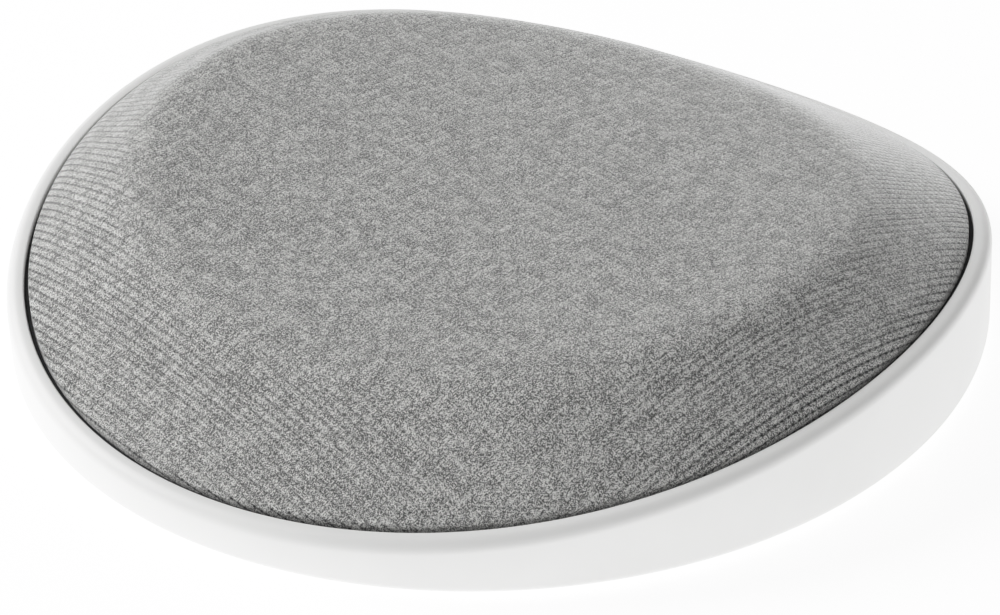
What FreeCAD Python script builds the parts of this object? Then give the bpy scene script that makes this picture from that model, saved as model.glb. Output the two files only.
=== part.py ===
"""A round table speaker: a white tray with a saddle-cut lip, a padded knit top, and the works between them.

Millimetres, +Z up. The origin is the centre of the flat the speaker stands on. The two high sides of the
lip are at -Y, the front, and +Y, the rear, which carries the power inlet and the controls.
"""

import FreeCAD, Part
import math
import os
import re
import Sketcher
from types import SimpleNamespace
from FreeCAD import Placement, Rotation, Vector

doc = FreeCAD.newDocument("table_speaker")
sheet = doc.addObject("Spreadsheet::Sheet", "Sizes")

SIZES = {
    # tray
    "outer_radius": 75.0,
    "lip_width": 2.85,
    "lip_round": 1.9,
    "lip_inner_round": 0.3,
    "base_round": 1.2,
    "shadow_gap": 0.7,
    "lip_mean": 12.0,
    "lip_rise": 5.3,
    "lip_skew": 1.3,
    "foot_drop": 0.8,
    "floor_wall": 1.8,
    # rubber foot
    "foot_in": 8.0,
    "foot_width": 13.0,
    "foot_groove": 0.7,
    "foot_clearance": 0.1,
    # padded top
    "crown": 24.0,
    "ridge_bend": 0.0009,
    "valley_bend": 0.0016,
    "roll_off_high": 18.5,
    "roll_off_low": 25.0,
    "pad_edge_rise": 0.3,
    "pad_skirt": 2.4,
    "knit_thick": 0.9,
    "foam_thick": 2.5,
    "frame_wall": 1.6,
    "soft_gap": 0.12,
    "seal_drop": 0.6,
    "hole_radius": 1.9,
    "hole_pitch": 6.2,
    "hole_field": 37.0,
    "hole_field_ahead": 6.0,
    # fastening of the top to the tray
    "post_turn": 39.0,
    "post_radius": 4.2,
    "post_top": 5.6,
    "base_head_radius": 2.5,
    "base_head_tall": 1.55,
    "base_shank_radius": 1.25,
    "base_shank_long": 7.0,
    "head_gap": 0.2,
    "screw_gap": 0.05,
    # chassis
    "chassis_side": 5.0,
    "chassis_behind": 3.0,
    "chassis_corner": 22.0,
    "chassis_wall": 1.8,
    "baffle_top": 13.6,
    "baffle_wall": 2.0,
    "chassis_seal_thick": 0.5,
    "ear_reach": 9.0,
    "ear_wide": 9.0,
    "ear_bottom": 4.6,
    "ear_thick": 2.0,
    "ear_screw_out": 4.0,
    "ear_front": 24.0,
    "ear_rear": 14.0,
    "ear_post_radius": 3.5,
    "ear_head_radius": 2.2,
    "ear_head_tall": 1.6,
    "ear_shank_radius": 1.1,
    # driver
    "surround_reach": 5.7,
    "flange_land": 3.5,
    "screw_land": 1.7,
    "driver_flange_thick": 1.0,
    "driver_gasket_thick": 0.5,
    "yoke_gap": 0.4,
    "yoke_plate": 2.0,
    "magnet_tall": 3.0,
    "top_plate_tall": 1.6,
    "magnet_radius": 16.0,
    "coil_radius": 7.4,
    "coil_wall": 0.35,
    "coil_gap": 0.45,
    "former_wall": 0.25,
    "winding_tall": 2.9,
    "cone_radius": 17.8,
    "cone_thick": 0.4,
    "spider_lift": 2.2,
    "cap_wall": 0.3,
    "cap_rise": 2.15,
    "terminal_half": 4.0,
    "terminal_thick": 0.8,
    # passive radiator
    "radiator_gap": 2.1,
    "radiator_frame_radius": 14.4,
    "radiator_frame_inner": 10.4,
    "radiator_frame_tall": 1.2,
    "radiator_plate_radius": 7.6,
    "radiator_plate_thick": 0.9,
    "radiator_weight_in": 2.4,
    "radiator_weight_tall": 1.5,
    "ballast_half": 18.0,
    "ballast_ahead": 10.5,
    "ballast_behind": 12.5,
    "ballast_tall": 3.0,
    # main board
    "board_half": 34.0,
    "board_clearance": 5.5,
    "board_wall_gap": 2.35,
    "board_bottom": 6.4,
    "board_thick": 1.2,
    "board_post_across": 29.0,
    "board_post_first": 4.0,
    "board_post_second": 20.5,
    "board_post_radius": 2.75,
    "small_shank_radius": 0.8,
    # power inlet
    "port_wide": 8.94,
    "port_tall": 3.26,
    "port_long": 8.7,
    "port_recess": 0.9,
    "port_wall": 0.3,
    "port_gap": 0.33,
    "port_flare": 1.3,
    "port_flare_deep": 0.6,
    "tongue_half": 0.35,
    # mute slider and reset button
    "mute_angle": 17.0,
    "mute_travel": 2.0,
    "mute_up": 1.6,
    "knob_wide": 4.0,
    "knob_tall": 2.2,
    "knob_proud": 0.3,
    "control_gap": 0.35,
    "switch_half": 3.8,
    "switch_deep": 3.8,
    "switch_tall": 3.2,
    "switch_from_edge": 1.2,
    "stem_half": 0.6,
    "shutter_half": 5.4,
    "shutter_thick": 0.7,
    "reset_angle": 15.0,
    "reset_up": 1.8,
    "reset_radius": 1.5,
    "reset_gap": 0.2,
    "reset_recess": 0.3,
    "reset_stem_radius": 0.9,
    "reset_half": 3.0,
    "reset_deep": 3.6,
    "reset_tall": 3.6,
    # microphones, status light, antennas
    "mic_across": 50.0,
    "mic_along": 4.0,
    "mic_seat": 12.0,
    "mic_half_wide": 5.0,
    "mic_half_deep": 4.0,
    "mic_pad_thick": 0.6,
    "mic_board_thick": 0.8,
    "mic_hole": 3.4,
    "light_along": 44.0,
    "light_seat": 17.0,
    "light_hole": 15.0,
    "light_half": 18.0,
    "light_board_thick": 0.8,
    "guide_half": 12.0,
    "guide_thick": 2.4,
    "guide_clearance": 0.3,
    "antenna_out": 12.0,
    "antenna_front": 31.0,
    "antenna_rear": 11.0,
    "antenna_tall": 7.0,
    "antenna_thick": 0.8,
    # leads
    "lead_radius": 0.55,
    "lead_up": 8.0,
    "grommet_radius": 2.2,
    "grommet_flange": 3.0,
    "grommet_lip": 0.8,
    "ribbon_half": 3.0,
    "ribbon_thick": 0.3,
}

# The pieces on the main board: middle across, middle behind the board's front edge, width, depth, height.
PROCESSOR = (-12, 14.5)
CHIPS = {
    "processor": (*PROCESSOR, 9, 8, 1.2),
    "amplifier": (10, 15, 6, 6, 1.0),
    "power_chip": (3, 20, 4, 4, 0.9),
    "charger_chip": (12, 24.5, 4, 4, 0.9),
}
# These two stand ahead of the mute switch: their middles are given from the board's rear edge.
CHOKE = (19.5, 12.3, 5, 5, 3.0)
REAR_CAPACITOR = (19, 20.3)
SHIELD = (16, 12, 2.0)
SHIELD_WALL = 0.3
PAD = (10, 8, 0.6)
SPREADER = (24, 15, 1.2)
SPREADER_LEG_DEEP = 8
CAPACITORS = ((25.2, 13), (23.6, 3.9), (3, 11))
CAPACITOR_RADIUS, CAPACITOR_TALL = 2.5, 5.6
LIGHT_SOCKET = (14, 3.4, 7.4, 3.6, 2.0)
MIC_SOCKET = (31.6, 10.6, 4, 5.2, 3.4)
SOCKETS = {
    "speaker_socket": (0, 3.2, 6.4, 4.4, 3.6),
    "light_socket": LIGHT_SOCKET,
    "mic_socket_right": MIC_SOCKET,
    "mic_socket_left": (-MIC_SOCKET[0], *MIC_SOCKET[1:]),
}
LEDS_ACROSS = (-9, -3, 3, 9)
LED_HALF, LED_TALL = 0.9, 0.7

for row, (alias, number) in enumerate(SIZES.items(), 1):
    sheet.set(f"A{row}", alias.replace("_", " "))
    sheet.set(f"B{row}", str(number))
    sheet.setAlias(f"B{row}", alias)
doc.recompute()
v = SimpleNamespace(**{alias: float(sheet.get(alias)) for alias in SIZES})

# Derived lengths, written once as expressions for the document's objects.
FLOOR = "(foot_drop + floor_wall)"
FOOT_TOP = "(foot_drop + foot_groove)"
FOOT_OUTER = "(outer_radius - foot_in)"
FOOT_INNER = f"({FOOT_OUTER} - foot_width)"
WELL = "(outer_radius - lip_width)"
HOLE = "(cone_radius + surround_reach)"
FLANGE_EDGE = f"({HOLE} + flange_land)"
SCREW_RING = f"({HOLE} + screw_land)"
GAP = "(coil_radius + coil_wall + coil_gap)"
POLE = "(coil_radius - former_wall - coil_gap)"
FLANGE = "(baffle_top + driver_gasket_thick)"
FLANGE_TOP = f"({FLANGE} + driver_flange_thick)"
YOKE = f"({FLOOR} + yoke_gap)"
MAGNET = f"({YOKE} + yoke_plate)"
TOP_PLATE = f"({MAGNET} + magnet_tall)"
BASKET = f"({TOP_PLATE} + top_plate_tall)"
SPIDER = f"({BASKET} + spider_lift)"
NECK = f"({SPIDER} + 0.6)"
COIL_OUTER = "(coil_radius + coil_wall)"
COIL_BOTTOM = f"({MAGNET} + 1.6)"
RADIATOR_ALONG = f"({FLANGE_EDGE} + radiator_gap + radiator_frame_radius)"
RADIATOR_TOP = "(baffle_top + radiator_frame_tall)"
CHASSIS_HALF = f"({FLANGE_EDGE} + chassis_side)"
CHASSIS_FRONT = f"({RADIATOR_ALONG} + radiator_frame_radius + radiator_gap)"
CHASSIS_REAR = f"({FLANGE_EDGE} + chassis_behind)"
CHASSIS_BOTTOM = f"({FLOOR} + chassis_seal_thick)"
EAR_TOP = "(ear_bottom + ear_thick)"
EAR_SCREW = f"({CHASSIS_HALF} + ear_screw_out)"
ANTENNA = f"({CHASSIS_HALF} + antenna_out)"
BOARD_FRONT = f"({CHASSIS_REAR} + board_clearance)"
BOARD_EDGE = f"({WELL} - board_wall_gap)"
BOARD_TOP = "(board_bottom + board_thick)"
BOARD_POSTS = (f"({BOARD_FRONT} + board_post_first)", f"({BOARD_FRONT} + board_post_second)")
PORT_MIDDLE = f"({BOARD_TOP} + port_tall / 2)"
PORT_MOUTH = "(outer_radius - port_recess)"
PORT_BACK = f"({PORT_MOUTH} - port_long)"
PORT_HALF = "(port_wide / 2 + port_gap)"
PORT_HALF_TALL = "(port_tall / 2 + port_gap)"
KNOB_MIDDLE = f"({BOARD_TOP} + mute_up)"
RESET_MIDDLE = f"({BOARD_TOP} + reset_up)"
SLEEVE = "(small_shank_radius + 0.1)"

# The same lengths as numbers, for the sculpted pieces and the leads.
well_radius = v.outer_radius - v.lip_width
pad_radius = well_radius - v.shadow_gap
post_ring = v.outer_radius - v.foot_in - v.foot_width / 2
post_across = post_ring * math.cos(math.radians(v.post_turn))
post_along = post_ring * math.sin(math.radians(v.post_turn))
hole_radius = v.cone_radius + v.surround_reach
chassis_rear = hole_radius + v.flange_land + v.chassis_behind
board_front = chassis_rear + v.board_clearance
board_top = v.board_bottom + v.board_thick

BOTH = ("-", "")

NODES = []


# ---------------------------------------------------------------- helpers

def full(expression):
    """The expression with each size's name turned into its spreadsheet cell."""
    return re.sub(r"[a-z_]+(?!\()\b", lambda word: f"Sizes.{word.group()}", expression)


def bind(thing, **sizes):
    for name, expression in sizes.items():
        thing.setExpression(name, full(expression))
    return thing


def place(thing, across="0", along="0", up="0", turn=0.0):
    """Puts a thing at a point of the speaker; turn swings it about the vertical axis, in degrees."""
    if turn:
        thing.Placement = Placement(Vector(0, 0, 0), Rotation(Vector(0, 0, 1), turn))
    for axis, expression in (("x", across), ("y", along), ("z", up)):
        thing.setExpression(f"Placement.Base.{axis}", full(expression))
    return thing


def cylinder(name, radius, up, tall, across="0", along="0"):
    piece = doc.addObject("Part::Cylinder", name)
    return place(bind(piece, Radius=radius, Height=tall), across, along, up)


def box(name, x_low, x_high, y_low, y_high, z_low, z_high):
    piece = doc.addObject("Part::Box", name)
    bind(piece, Length=f"({x_high}) - ({x_low})", Width=f"({y_high}) - ({y_low})",
         Height=f"({z_high}) - ({z_low})")
    return place(piece, x_low, y_low, z_low)


def cut(name, base, *tools):
    tool = tools[0] if len(tools) == 1 else fuse(name + "_tools", *tools)
    piece = doc.addObject("Part::Cut", name)
    piece.Base = base
    piece.Tool = tool
    return piece


def fuse(name, *shapes):
    piece = doc.addObject("Part::MultiFuse", name)
    piece.Shapes = list(shapes)
    return piece


def common(name, *shapes):
    piece = doc.addObject("Part::MultiCommon", name)
    piece.Shapes = list(shapes)
    return piece


def group(name, shapes):
    piece = doc.addObject("Part::Compound", name)
    piece.Links = list(shapes)
    return piece


def solid(name, shape):
    """A document object that holds a shape made with Part's own functions."""
    piece = doc.addObject("Part::Feature", name)
    piece.Shape = shape
    return piece


def node(name, piece):
    """Marks a finished piece as one sub-part of the speaker."""
    piece.Label = name
    NODES.append(piece)
    return piece


def ring(name, outer, inner, up, tall, across="0", along="0"):
    disc = cylinder(name + "_disc", outer, up, tall, across, along)
    bore = cylinder(name + "_bore", inner, f"{up} - 1", f"{tall} + 2", across, along)
    return cut(name, disc, bore)


def sketch_on(body, role, name):
    plane = [feature for feature in body.Origin.OriginFeatures if feature.Role == role][0]
    drawing = body.newObject("Sketcher::SketchObject", name)
    drawing.AttachmentSupport = (plane, [""])
    drawing.MapMode = "FlatFace"
    return drawing


def draw_outline(drawing, corners):
    """Closes a polygon whose corners are pairs of expressions, each held by its two coordinates."""
    start = [Vector(0.1 * math.cos(0.7 * k), 0.1 * math.sin(0.7 * k), 0) for k in range(len(corners))]
    drawing.addGeometry(
        [Part.LineSegment(start[k], start[(k + 1) % len(corners)] + Vector(0.01, 0, 0))
         for k in range(len(corners))]
    )
    for k in range(len(corners)):
        drawing.addConstraint(Sketcher.Constraint("Coincident", k, 2, (k + 1) % len(corners), 1))
    for k, (right, up) in enumerate(corners):
        for kind, expression in (("DistanceX", right), ("DistanceY", up)):
            number = drawing.addConstraint(Sketcher.Constraint(kind, k, 1, 1.0 + k))
            drawing.setExpression(f"Constraints[{number}]", full(expression))


def revolved(name, corners, across="0", along="0"):
    """A body turned from an outline of (radius, height) corners about a vertical axis."""
    body = doc.addObject("PartDesign::Body", name)
    drawing = sketch_on(body, "XZ_Plane", name + "_outline")
    draw_outline(drawing, corners)
    turned = body.newObject("PartDesign::Revolution", name + "_turned")
    turned.Profile = drawing
    turned.ReferenceAxis = (drawing, ["V_Axis"])
    turned.Angle = 360
    return place(body, across, along)


def plate(name, corners, up, tall, corner_radius=None):
    """A body padded upwards from an outline, with its upright edges rounded where a radius is given."""
    body = doc.addObject("PartDesign::Body", name)
    drawing = sketch_on(body, "XY_Plane", name + "_outline")
    draw_outline(drawing, corners)
    padded = body.newObject("PartDesign::Pad", name + "_padded")
    padded.Profile = drawing
    bind(padded, Length=tall)
    if corner_radius:
        doc.recompute()
        upright = [
            f"Edge{k}" for k, edge in enumerate(padded.Shape.Edges, 1)
            if abs(edge.tangentAt(edge.FirstParameter).z) > 0.99
        ]
        rounded = body.newObject("PartDesign::Fillet", name + "_rounded")
        rounded.Base = (padded, upright)
        bind(rounded, Radius=corner_radius)
    return place(body, up=up)


def oblong(x_low, x_high, y_low, y_high):
    return [(x_low, y_low), (x_high, y_low), (x_high, y_high), (x_low, y_high)]


def screw(name, head_radius, head_tall, shank_radius, shank_long, across, along, seat, upwards):
    """A socket screw. Its head sits on the face at seat, and upwards says where its shank points."""
    if upwards:
        head_up, shank_up = f"{seat} - {head_tall}", seat
        socket_up = f"{seat} - {head_tall} - 0.5"
    else:
        head_up, shank_up = seat, f"{seat} - {shank_long}"
        socket_up = f"{seat} + {head_tall} * 0.5"
    head = cylinder(name + "_head", head_radius, head_up, head_tall, across, along)
    shank = cylinder(name + "_shank", shank_radius, shank_up, shank_long, across, along)
    socket = doc.addObject("Part::Prism", name + "_socket")
    socket.Polygon = 6
    bind(socket, Circumradius=f"{head_radius} * 0.5", Height=f"{head_tall} * 0.5 + 0.5")
    place(socket, across, along, socket_up)
    return cut(name, fuse(name + "_blank", head, shank), socket)


def on_wall(name, shapes, angle, side):
    """Joins shapes drawn at the rear and swings them round the wall by an angle to one side."""
    joined = fuse(name, *shapes) if len(shapes) > 1 else group(name, shapes)
    return place(joined, turn=-side * angle)


def rounded_path(points):
    """Straight runs joined by tangent arcs, each as large as its two runs allow."""
    edges = []
    start = points[0]
    for k in range(1, len(points) - 1):
        before, corner, after = points[k - 1], points[k], points[k + 1]
        inward = (before - corner).normalize()
        outward = (after - corner).normalize()
        run = min((before - corner).Length, (after - corner).Length)
        trim = 0.45 * run
        bisector = (inward + outward).normalize()
        half_turn = (math.pi - inward.getAngle(outward)) / 2
        radius = trim / math.tan(half_turn)
        first, last = corner + inward * trim, corner + outward * trim
        middle = corner + bisector * (radius / math.cos(half_turn) - radius)
        edges.append(Part.LineSegment(start, first).toShape())
        edges.append(Part.Arc(first, middle, last).toShape())
        start = last
    edges.append(Part.LineSegment(start, points[-1]).toShape())
    return Part.Wire(edges)


def tube(points, radius):
    path = rounded_path(points)
    direction = points[1] - points[0]
    circle = Part.Wire(Part.Circle(points[0], direction, radius).toShape())
    swept = path.makePipeShell([circle], True, False)
    expected = math.pi * radius ** 2 * path.Length
    if abs(swept.Volume / expected - 1) > 0.01:
        raise RuntimeError("a lead's volume is not its section times its length")
    return swept


# ---------------------------------------------------------------- the two sculpted surfaces

def lip_height(x, y):
    """The saddle that the lip is cut to: high at the front and rear, low at the sides, a little skewed."""
    saddle = v.lip_rise * (y * y - x * x) / well_radius ** 2
    skew = v.lip_skew * (3 * x * y * y - x ** 3) / well_radius ** 3
    return v.lip_mean + saddle + skew


def pad_height(x, y):
    """The top of the padding: a gentle saddle that rolls off to meet the lip all round."""
    reach = math.hypot(x, y)
    crest = v.crown + v.ridge_bend * y * y - v.valley_bend * x * x
    if reach < 1:
        return crest
    edge = lip_height(x * pad_radius / reach, y * pad_radius / reach) + v.pad_edge_rise
    width = (v.roll_off_high * y * y + v.roll_off_low * x * x) / reach ** 2
    inside = min((pad_radius - reach) / width, 1)
    return edge + (crest - edge) * (1 - (1 - inside) ** 2)


PAD_STEPS, LIP_STEPS = 56, 16


def sculpted(height, steps, drop, thick):
    """A block between the surface of a height function, lowered by drop, and the same one moved by thick."""
    half = v.outer_radius + 3
    lines = [-half + 2 * half * k / steps for k in range(steps + 1)]
    grid = [[Vector(x, y, height(x, y) - drop) for y in lines] for x in lines]
    surface = Part.BSplineSurface()
    surface.interpolate(grid)
    return surface.toShape().extrude(Vector(0, 0, thick))


def dome(radius, drop, skirt):
    """The padding's outline, drawn in by radius and drop, from its top down to its skirt."""
    disc = Part.makeCylinder(radius, 60, Vector(0, 0, -20))
    below_top = sculpted(pad_height, PAD_STEPS, drop, -70)
    above_skirt = sculpted(lip_height, LIP_STEPS, skirt, 70)
    return disc.common(below_top).common(above_skirt)


open_skirt = v.pad_skirt + 2
foam_radius = pad_radius - v.knit_thick - v.soft_gap
foam_drop = v.knit_thick + v.soft_gap
frame_radius = foam_radius - v.foam_thick
frame_drop = foam_drop + v.foam_thick + v.soft_gap

cover_hollow = dome(pad_radius - v.knit_thick, v.knit_thick, open_skirt)
node("grille_cover", solid("cover", dome(pad_radius, 0, v.pad_skirt).cut(cover_hollow)))

foam_hollow = dome(frame_radius + v.soft_gap, frame_drop - v.soft_gap, open_skirt)
node("grille_foam", solid("foam", dome(foam_radius, foam_drop, v.pad_skirt).cut(foam_hollow)))


# ---------------------------------------------------------------- the perforated frame under the padding

frame_outer = dome(frame_radius, frame_drop, v.pad_skirt)
frame_hollow = dome(frame_radius - v.frame_wall, frame_drop + v.frame_wall, open_skirt)
frame_shell = frame_outer.cut(frame_hollow)

pillars = []
for side in (-1, 1):
    for end in (-1, 1):
        foot = Vector(side * post_across, end * post_along, v.post_top)
        pillars.append(Part.makeCylinder(v.post_radius, 30, foot))
    corner = Vector(side * v.mic_across - v.mic_half_wide, -v.mic_along - v.mic_half_deep, v.mic_seat)
    pillars.append(Part.makeBox(2 * v.mic_half_wide, 2 * v.mic_half_deep, 20, corner))
    pillars.append(Part.makeCylinder(2.5, 20, Vector(side * v.light_hole, v.light_along, v.light_seat)))
below_frame = sculpted(pad_height, PAD_STEPS, frame_drop + v.frame_wall / 2, -70)
trimmed = [pillar.common(below_frame) for pillar in pillars]
frame_solid = frame_shell.multiFuse(trimmed)

openings = []
row_pitch = v.hole_pitch * math.sqrt(3) / 2
rows = int(v.hole_field / row_pitch)
columns = int(v.hole_field / v.hole_pitch) + 1
for row in range(-rows, rows + 1):
    for column in range(-columns, columns + 1):
        x = (column + 0.5 * (row % 2)) * v.hole_pitch
        y = row * row_pitch - v.hole_field_ahead
        if math.hypot(x, y + v.hole_field_ahead) < v.hole_field and abs(y - v.light_along) > 6:
            openings.append(Part.makeCylinder(v.hole_radius, 60, Vector(x, y, -10)))
window_half = v.guide_half + v.guide_clearance
window_deep = v.guide_thick + 2 * v.guide_clearance
openings.append(Part.makeBox(2 * window_half, window_deep, 60,
                             Vector(-window_half, v.light_along - window_deep / 2, -10)))
pilot = v.small_shank_radius + v.screw_gap
for side in (-1, 1):
    middle = Vector(side * v.mic_across, -v.mic_along, 0)
    openings.append(Part.makeCylinder(0.6, 60, middle))
    for offset in (-v.mic_hole, v.mic_hole):
        openings.append(Part.makeCylinder(pilot, v.mic_seat + 3, middle + Vector(offset, 0, 0)))
    openings.append(Part.makeCylinder(pilot, v.light_seat + 3, Vector(side * v.light_hole, v.light_along, 0)))
    for end in (-1, 1):
        foot = Vector(side * post_across, end * post_along, 0)
        openings.append(Part.makeCylinder(v.base_shank_radius + v.screw_gap, v.base_shank_long + 4, foot))
node("grille_frame", solid("frame", frame_solid.cut(Part.makeCompound(openings))))


# ---------------------------------------------------------------- tray

ABOVE_LIP = "(lip_mean + lip_rise + lip_skew + 4)"
tray_blank = revolved("tray_blank", [
    ("0", "foot_drop"), ("outer_radius", "foot_drop"), ("outer_radius", ABOVE_LIP),
    (WELL, ABOVE_LIP), (WELL, FLOOR), ("0", FLOOR),
])
above_lip = solid("above_lip", sculpted(lip_height, LIP_STEPS, 0, 40))
tray_rough = cut("tray_rough", tray_blank, above_lip)
doc.recompute()

lip_edges = []
for number, edge in enumerate(tray_rough.Shape.Edges, 1):
    low = edge.BoundBox.ZMin > v.foot_drop + v.floor_wall + 0.5
    outer = abs(math.hypot(edge.Vertexes[0].X, edge.Vertexes[0].Y) - v.outer_radius) < 0.01
    if edge.Length < 2 * v.outer_radius:
        continue
    if low:
        lip_edges.append((number, v.lip_round if outer else v.lip_inner_round))
    elif outer and edge.BoundBox.ZMax < v.foot_drop + 0.01:
        lip_edges.append((number, v.base_round))
tray_soft = doc.addObject("Part::Fillet", "tray_soft")
tray_soft.Base = tray_rough
tray_soft.Edges = [(number, radius, radius) for number, radius in lip_edges]

groove = ring("foot_groove_ring", f"{FOOT_OUTER} + foot_clearance", f"{FOOT_INNER} - foot_clearance",
              "foot_drop - 1", "foot_groove + 1")
tray_adds, tray_cuts = [], [groove]


def post(name, radius, top, bore, bore_from, across, along):
    """A post on the tray's floor and the blind bore up through it."""
    tray_adds.append(cylinder(name, radius, "foot_drop + 1", f"{top} - foot_drop - 1", across, along))
    tray_cuts.append(cylinder(name + "_bore", bore, bore_from, f"{top} - ({bore_from}) + 1", across, along))


SINK_TOP = f"({FOOT_TOP} + base_head_tall + screw_gap)"
POSTS = [(f"{side}{post_across:.9f}", f"{end}{post_along:.9f}") for side in BOTH for end in BOTH]
EARS = [(f"{side}{EAR_SCREW}", along) for side in BOTH for along in ("-ear_front", "ear_rear")]
BOARD_HOLES = [(f"{side}board_post_across", along) for side in BOTH for along in BOARD_POSTS]
for k in range(4):
    post(f"post_{k}", "post_radius", "post_top", "base_shank_radius + head_gap", "0", *POSTS[k])
    tray_cuts.append(cylinder(f"post_sink_{k}", "base_head_radius + head_gap", "0", SINK_TOP, *POSTS[k]))
    post(f"ear_post_{k}", "ear_post_radius", "ear_bottom", "ear_shank_radius + screw_gap",
         "foot_drop + 0.7", *EARS[k])
    post(f"board_post_{k}", "board_post_radius", "board_bottom", "small_shank_radius + screw_gap",
         "foot_drop + 1.2", *BOARD_HOLES[k])


def slot_through_wall(name, half_wide, half_tall, middle, deep_from, deep_to):
    """A round-ended slot bored along Y."""
    ends = []
    for side in ("-", ""):
        end = doc.addObject("Part::Cylinder", f"{name}_end{len(ends)}")
        bind(end, Radius=half_tall, Height=f"({deep_to}) - ({deep_from})")
        end.Placement = Placement(Vector(0, 0, 0), Rotation(Vector(1, 0, 0), -90))
        place_end = (f"{side}({half_wide} - ({half_tall}))", deep_from, middle)
        for axis, expression in zip("xyz", place_end):
            end.setExpression(f"Placement.Base.{axis}", full(expression))
        ends.append(end)
    straight = f"(({half_wide}) - ({half_tall}))"
    web = box(name + "_web", f"-{straight}", straight, deep_from, deep_to,
              f"({middle}) - ({half_tall})", f"({middle}) + ({half_tall})")
    return fuse(name, web, *ends)


INSIDE, OUTSIDE = f"{WELL} - 3", "outer_radius + 2"
tray_cuts.append(slot_through_wall("port_hole", PORT_HALF, PORT_HALF_TALL, PORT_MIDDLE, INSIDE, OUTSIDE))
tray_cuts.append(slot_through_wall("port_flare", f"{PORT_HALF} + port_flare",
                                   f"{PORT_HALF_TALL} + port_flare",
                                   PORT_MIDDLE, "outer_radius - port_flare_deep", OUTSIDE))
mute_hole = slot_through_wall("mute_hole", "knob_wide / 2 + mute_travel / 2 + control_gap",
                              "knob_tall / 2 + control_gap", KNOB_MIDDLE, INSIDE, OUTSIDE)
tray_cuts.append(on_wall("mute_hole_turned", [mute_hole], v.mute_angle, 1))


def rod(name, radius, deep_from, deep_to, middle, across="0"):
    """A round bar along Y."""
    bar = doc.addObject("Part::Cylinder", name)
    bind(bar, Radius=radius, Height=f"({deep_to}) - ({deep_from})")
    bar.Placement = Placement(Vector(0, 0, 0), Rotation(Vector(1, 0, 0), -90))
    for axis, expression in zip("xyz", (across, deep_from, middle)):
        bar.setExpression(f"Placement.Base.{axis}", full(expression))
    return bar


reset_hole = rod("reset_hole", "reset_radius + reset_gap", INSIDE, OUTSIDE, RESET_MIDDLE)
tray_cuts.append(on_wall("reset_hole_turned", [reset_hole], v.reset_angle, -1))
node("tray_shell", cut("tray", fuse("tray_full", tray_soft, *tray_adds), *tray_cuts))

node("foot_ring", ring("foot", FOOT_OUTER, FOOT_INNER, "0", FOOT_TOP))
node("base_screws", group("base_screw_set", [
    screw(f"base_screw_{k}", "base_head_radius", "base_head_tall", "base_shank_radius", "base_shank_long",
          *POSTS[k], SINK_TOP, True)
    for k in range(4)
]))

seal_band = Part.makeCylinder(well_radius - v.soft_gap, 60, Vector(0, 0, -20))
seal_band = seal_band.cut(Part.makeCylinder(pad_radius + v.soft_gap, 60, Vector(0, 0, -20)))
seal_band = seal_band.common(sculpted(lip_height, LIP_STEPS, v.seal_drop, v.seal_drop - v.pad_skirt - 0.2))
node("gap_gasket", solid("seal_band", seal_band))


# ---------------------------------------------------------------- chassis

CHASSIS = oblong(f"-{CHASSIS_HALF}", CHASSIS_HALF, f"-{CHASSIS_FRONT}", CHASSIS_REAR)
HOLLOW = oblong(f"-{CHASSIS_HALF} + chassis_wall", f"{CHASSIS_HALF} - chassis_wall",
                f"-{CHASSIS_FRONT} + chassis_wall", f"{CHASSIS_REAR} - chassis_wall")
HOLLOW_CORNER = "chassis_corner - chassis_wall"
chassis_block = plate("chassis_block", CHASSIS, CHASSIS_BOTTOM, f"baffle_top - {CHASSIS_BOTTOM}",
                      "chassis_corner")
chassis_hollow = plate("chassis_hollow", HOLLOW, f"{CHASSIS_BOTTOM} - 1",
                       f"baffle_top - baffle_wall - {CHASSIS_BOTTOM} + 1", HOLLOW_CORNER)
chassis_ears, chassis_cuts = [], [
    chassis_hollow,
    cylinder("driver_opening", HOLE, "baffle_top - 5", "10"),
    cylinder("radiator_opening", "radiator_frame_inner + 1", "baffle_top - 5", "10", "0",
             f"-{RADIATOR_ALONG}"),
    rod("lead_opening", "grommet_radius", f"{CHASSIS_REAR} - 5", f"{CHASSIS_REAR} + 5", "lead_up"),
]
for k, (across, along) in enumerate(EARS):
    inner, outer = f"({CHASSIS_HALF} - 1)", f"({CHASSIS_HALF} - 1 + ear_reach)"
    low, high = (f"-{outer}", f"-{inner}") if across.startswith("-") else (inner, outer)
    chassis_ears.append(box(f"ear_{k}", low, high, f"{along} - ear_wide / 2", f"{along} + ear_wide / 2",
                            "ear_bottom", EAR_TOP))
    chassis_cuts.append(cylinder(f"ear_hole_{k}", "ear_shank_radius + head_gap", "ear_bottom - 1",
                                 "ear_thick + 2",
                                 across, along))
DRIVER_SCREWS = []
for k in range(4):
    turn = math.radians(45 + 90 * k)
    DRIVER_SCREWS.append((f"{SCREW_RING} * {math.cos(turn):.9f}", f"{SCREW_RING} * {math.sin(turn):.9f}"))
for k in range(4):
    chassis_cuts.append(cylinder(f"driver_pilot_{k}", "0.75 + screw_gap", "baffle_top - 5", "10",
                                 *DRIVER_SCREWS[k]))
node("chassis", cut("chassis_shell", fuse("chassis_full", chassis_block, *chassis_ears), *chassis_cuts))

seal_block = plate("seal_block", CHASSIS, FLOOR, "chassis_seal_thick", "chassis_corner")
seal_hollow = plate("seal_hollow", HOLLOW, f"{FLOOR} - 1", "chassis_seal_thick + 2", HOLLOW_CORNER)
node("chassis_seal", cut("chassis_seal_ring", seal_block, seal_hollow))
node("chassis_screws", group("chassis_screw_set", [
    screw(f"ear_screw_{k}", "ear_head_radius", "ear_head_tall", "ear_shank_radius",
          f"({EAR_TOP} - foot_drop - 0.8)",
          *EARS[k], EAR_TOP, False)
    for k in range(4)
]))


# ---------------------------------------------------------------- driver

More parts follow.
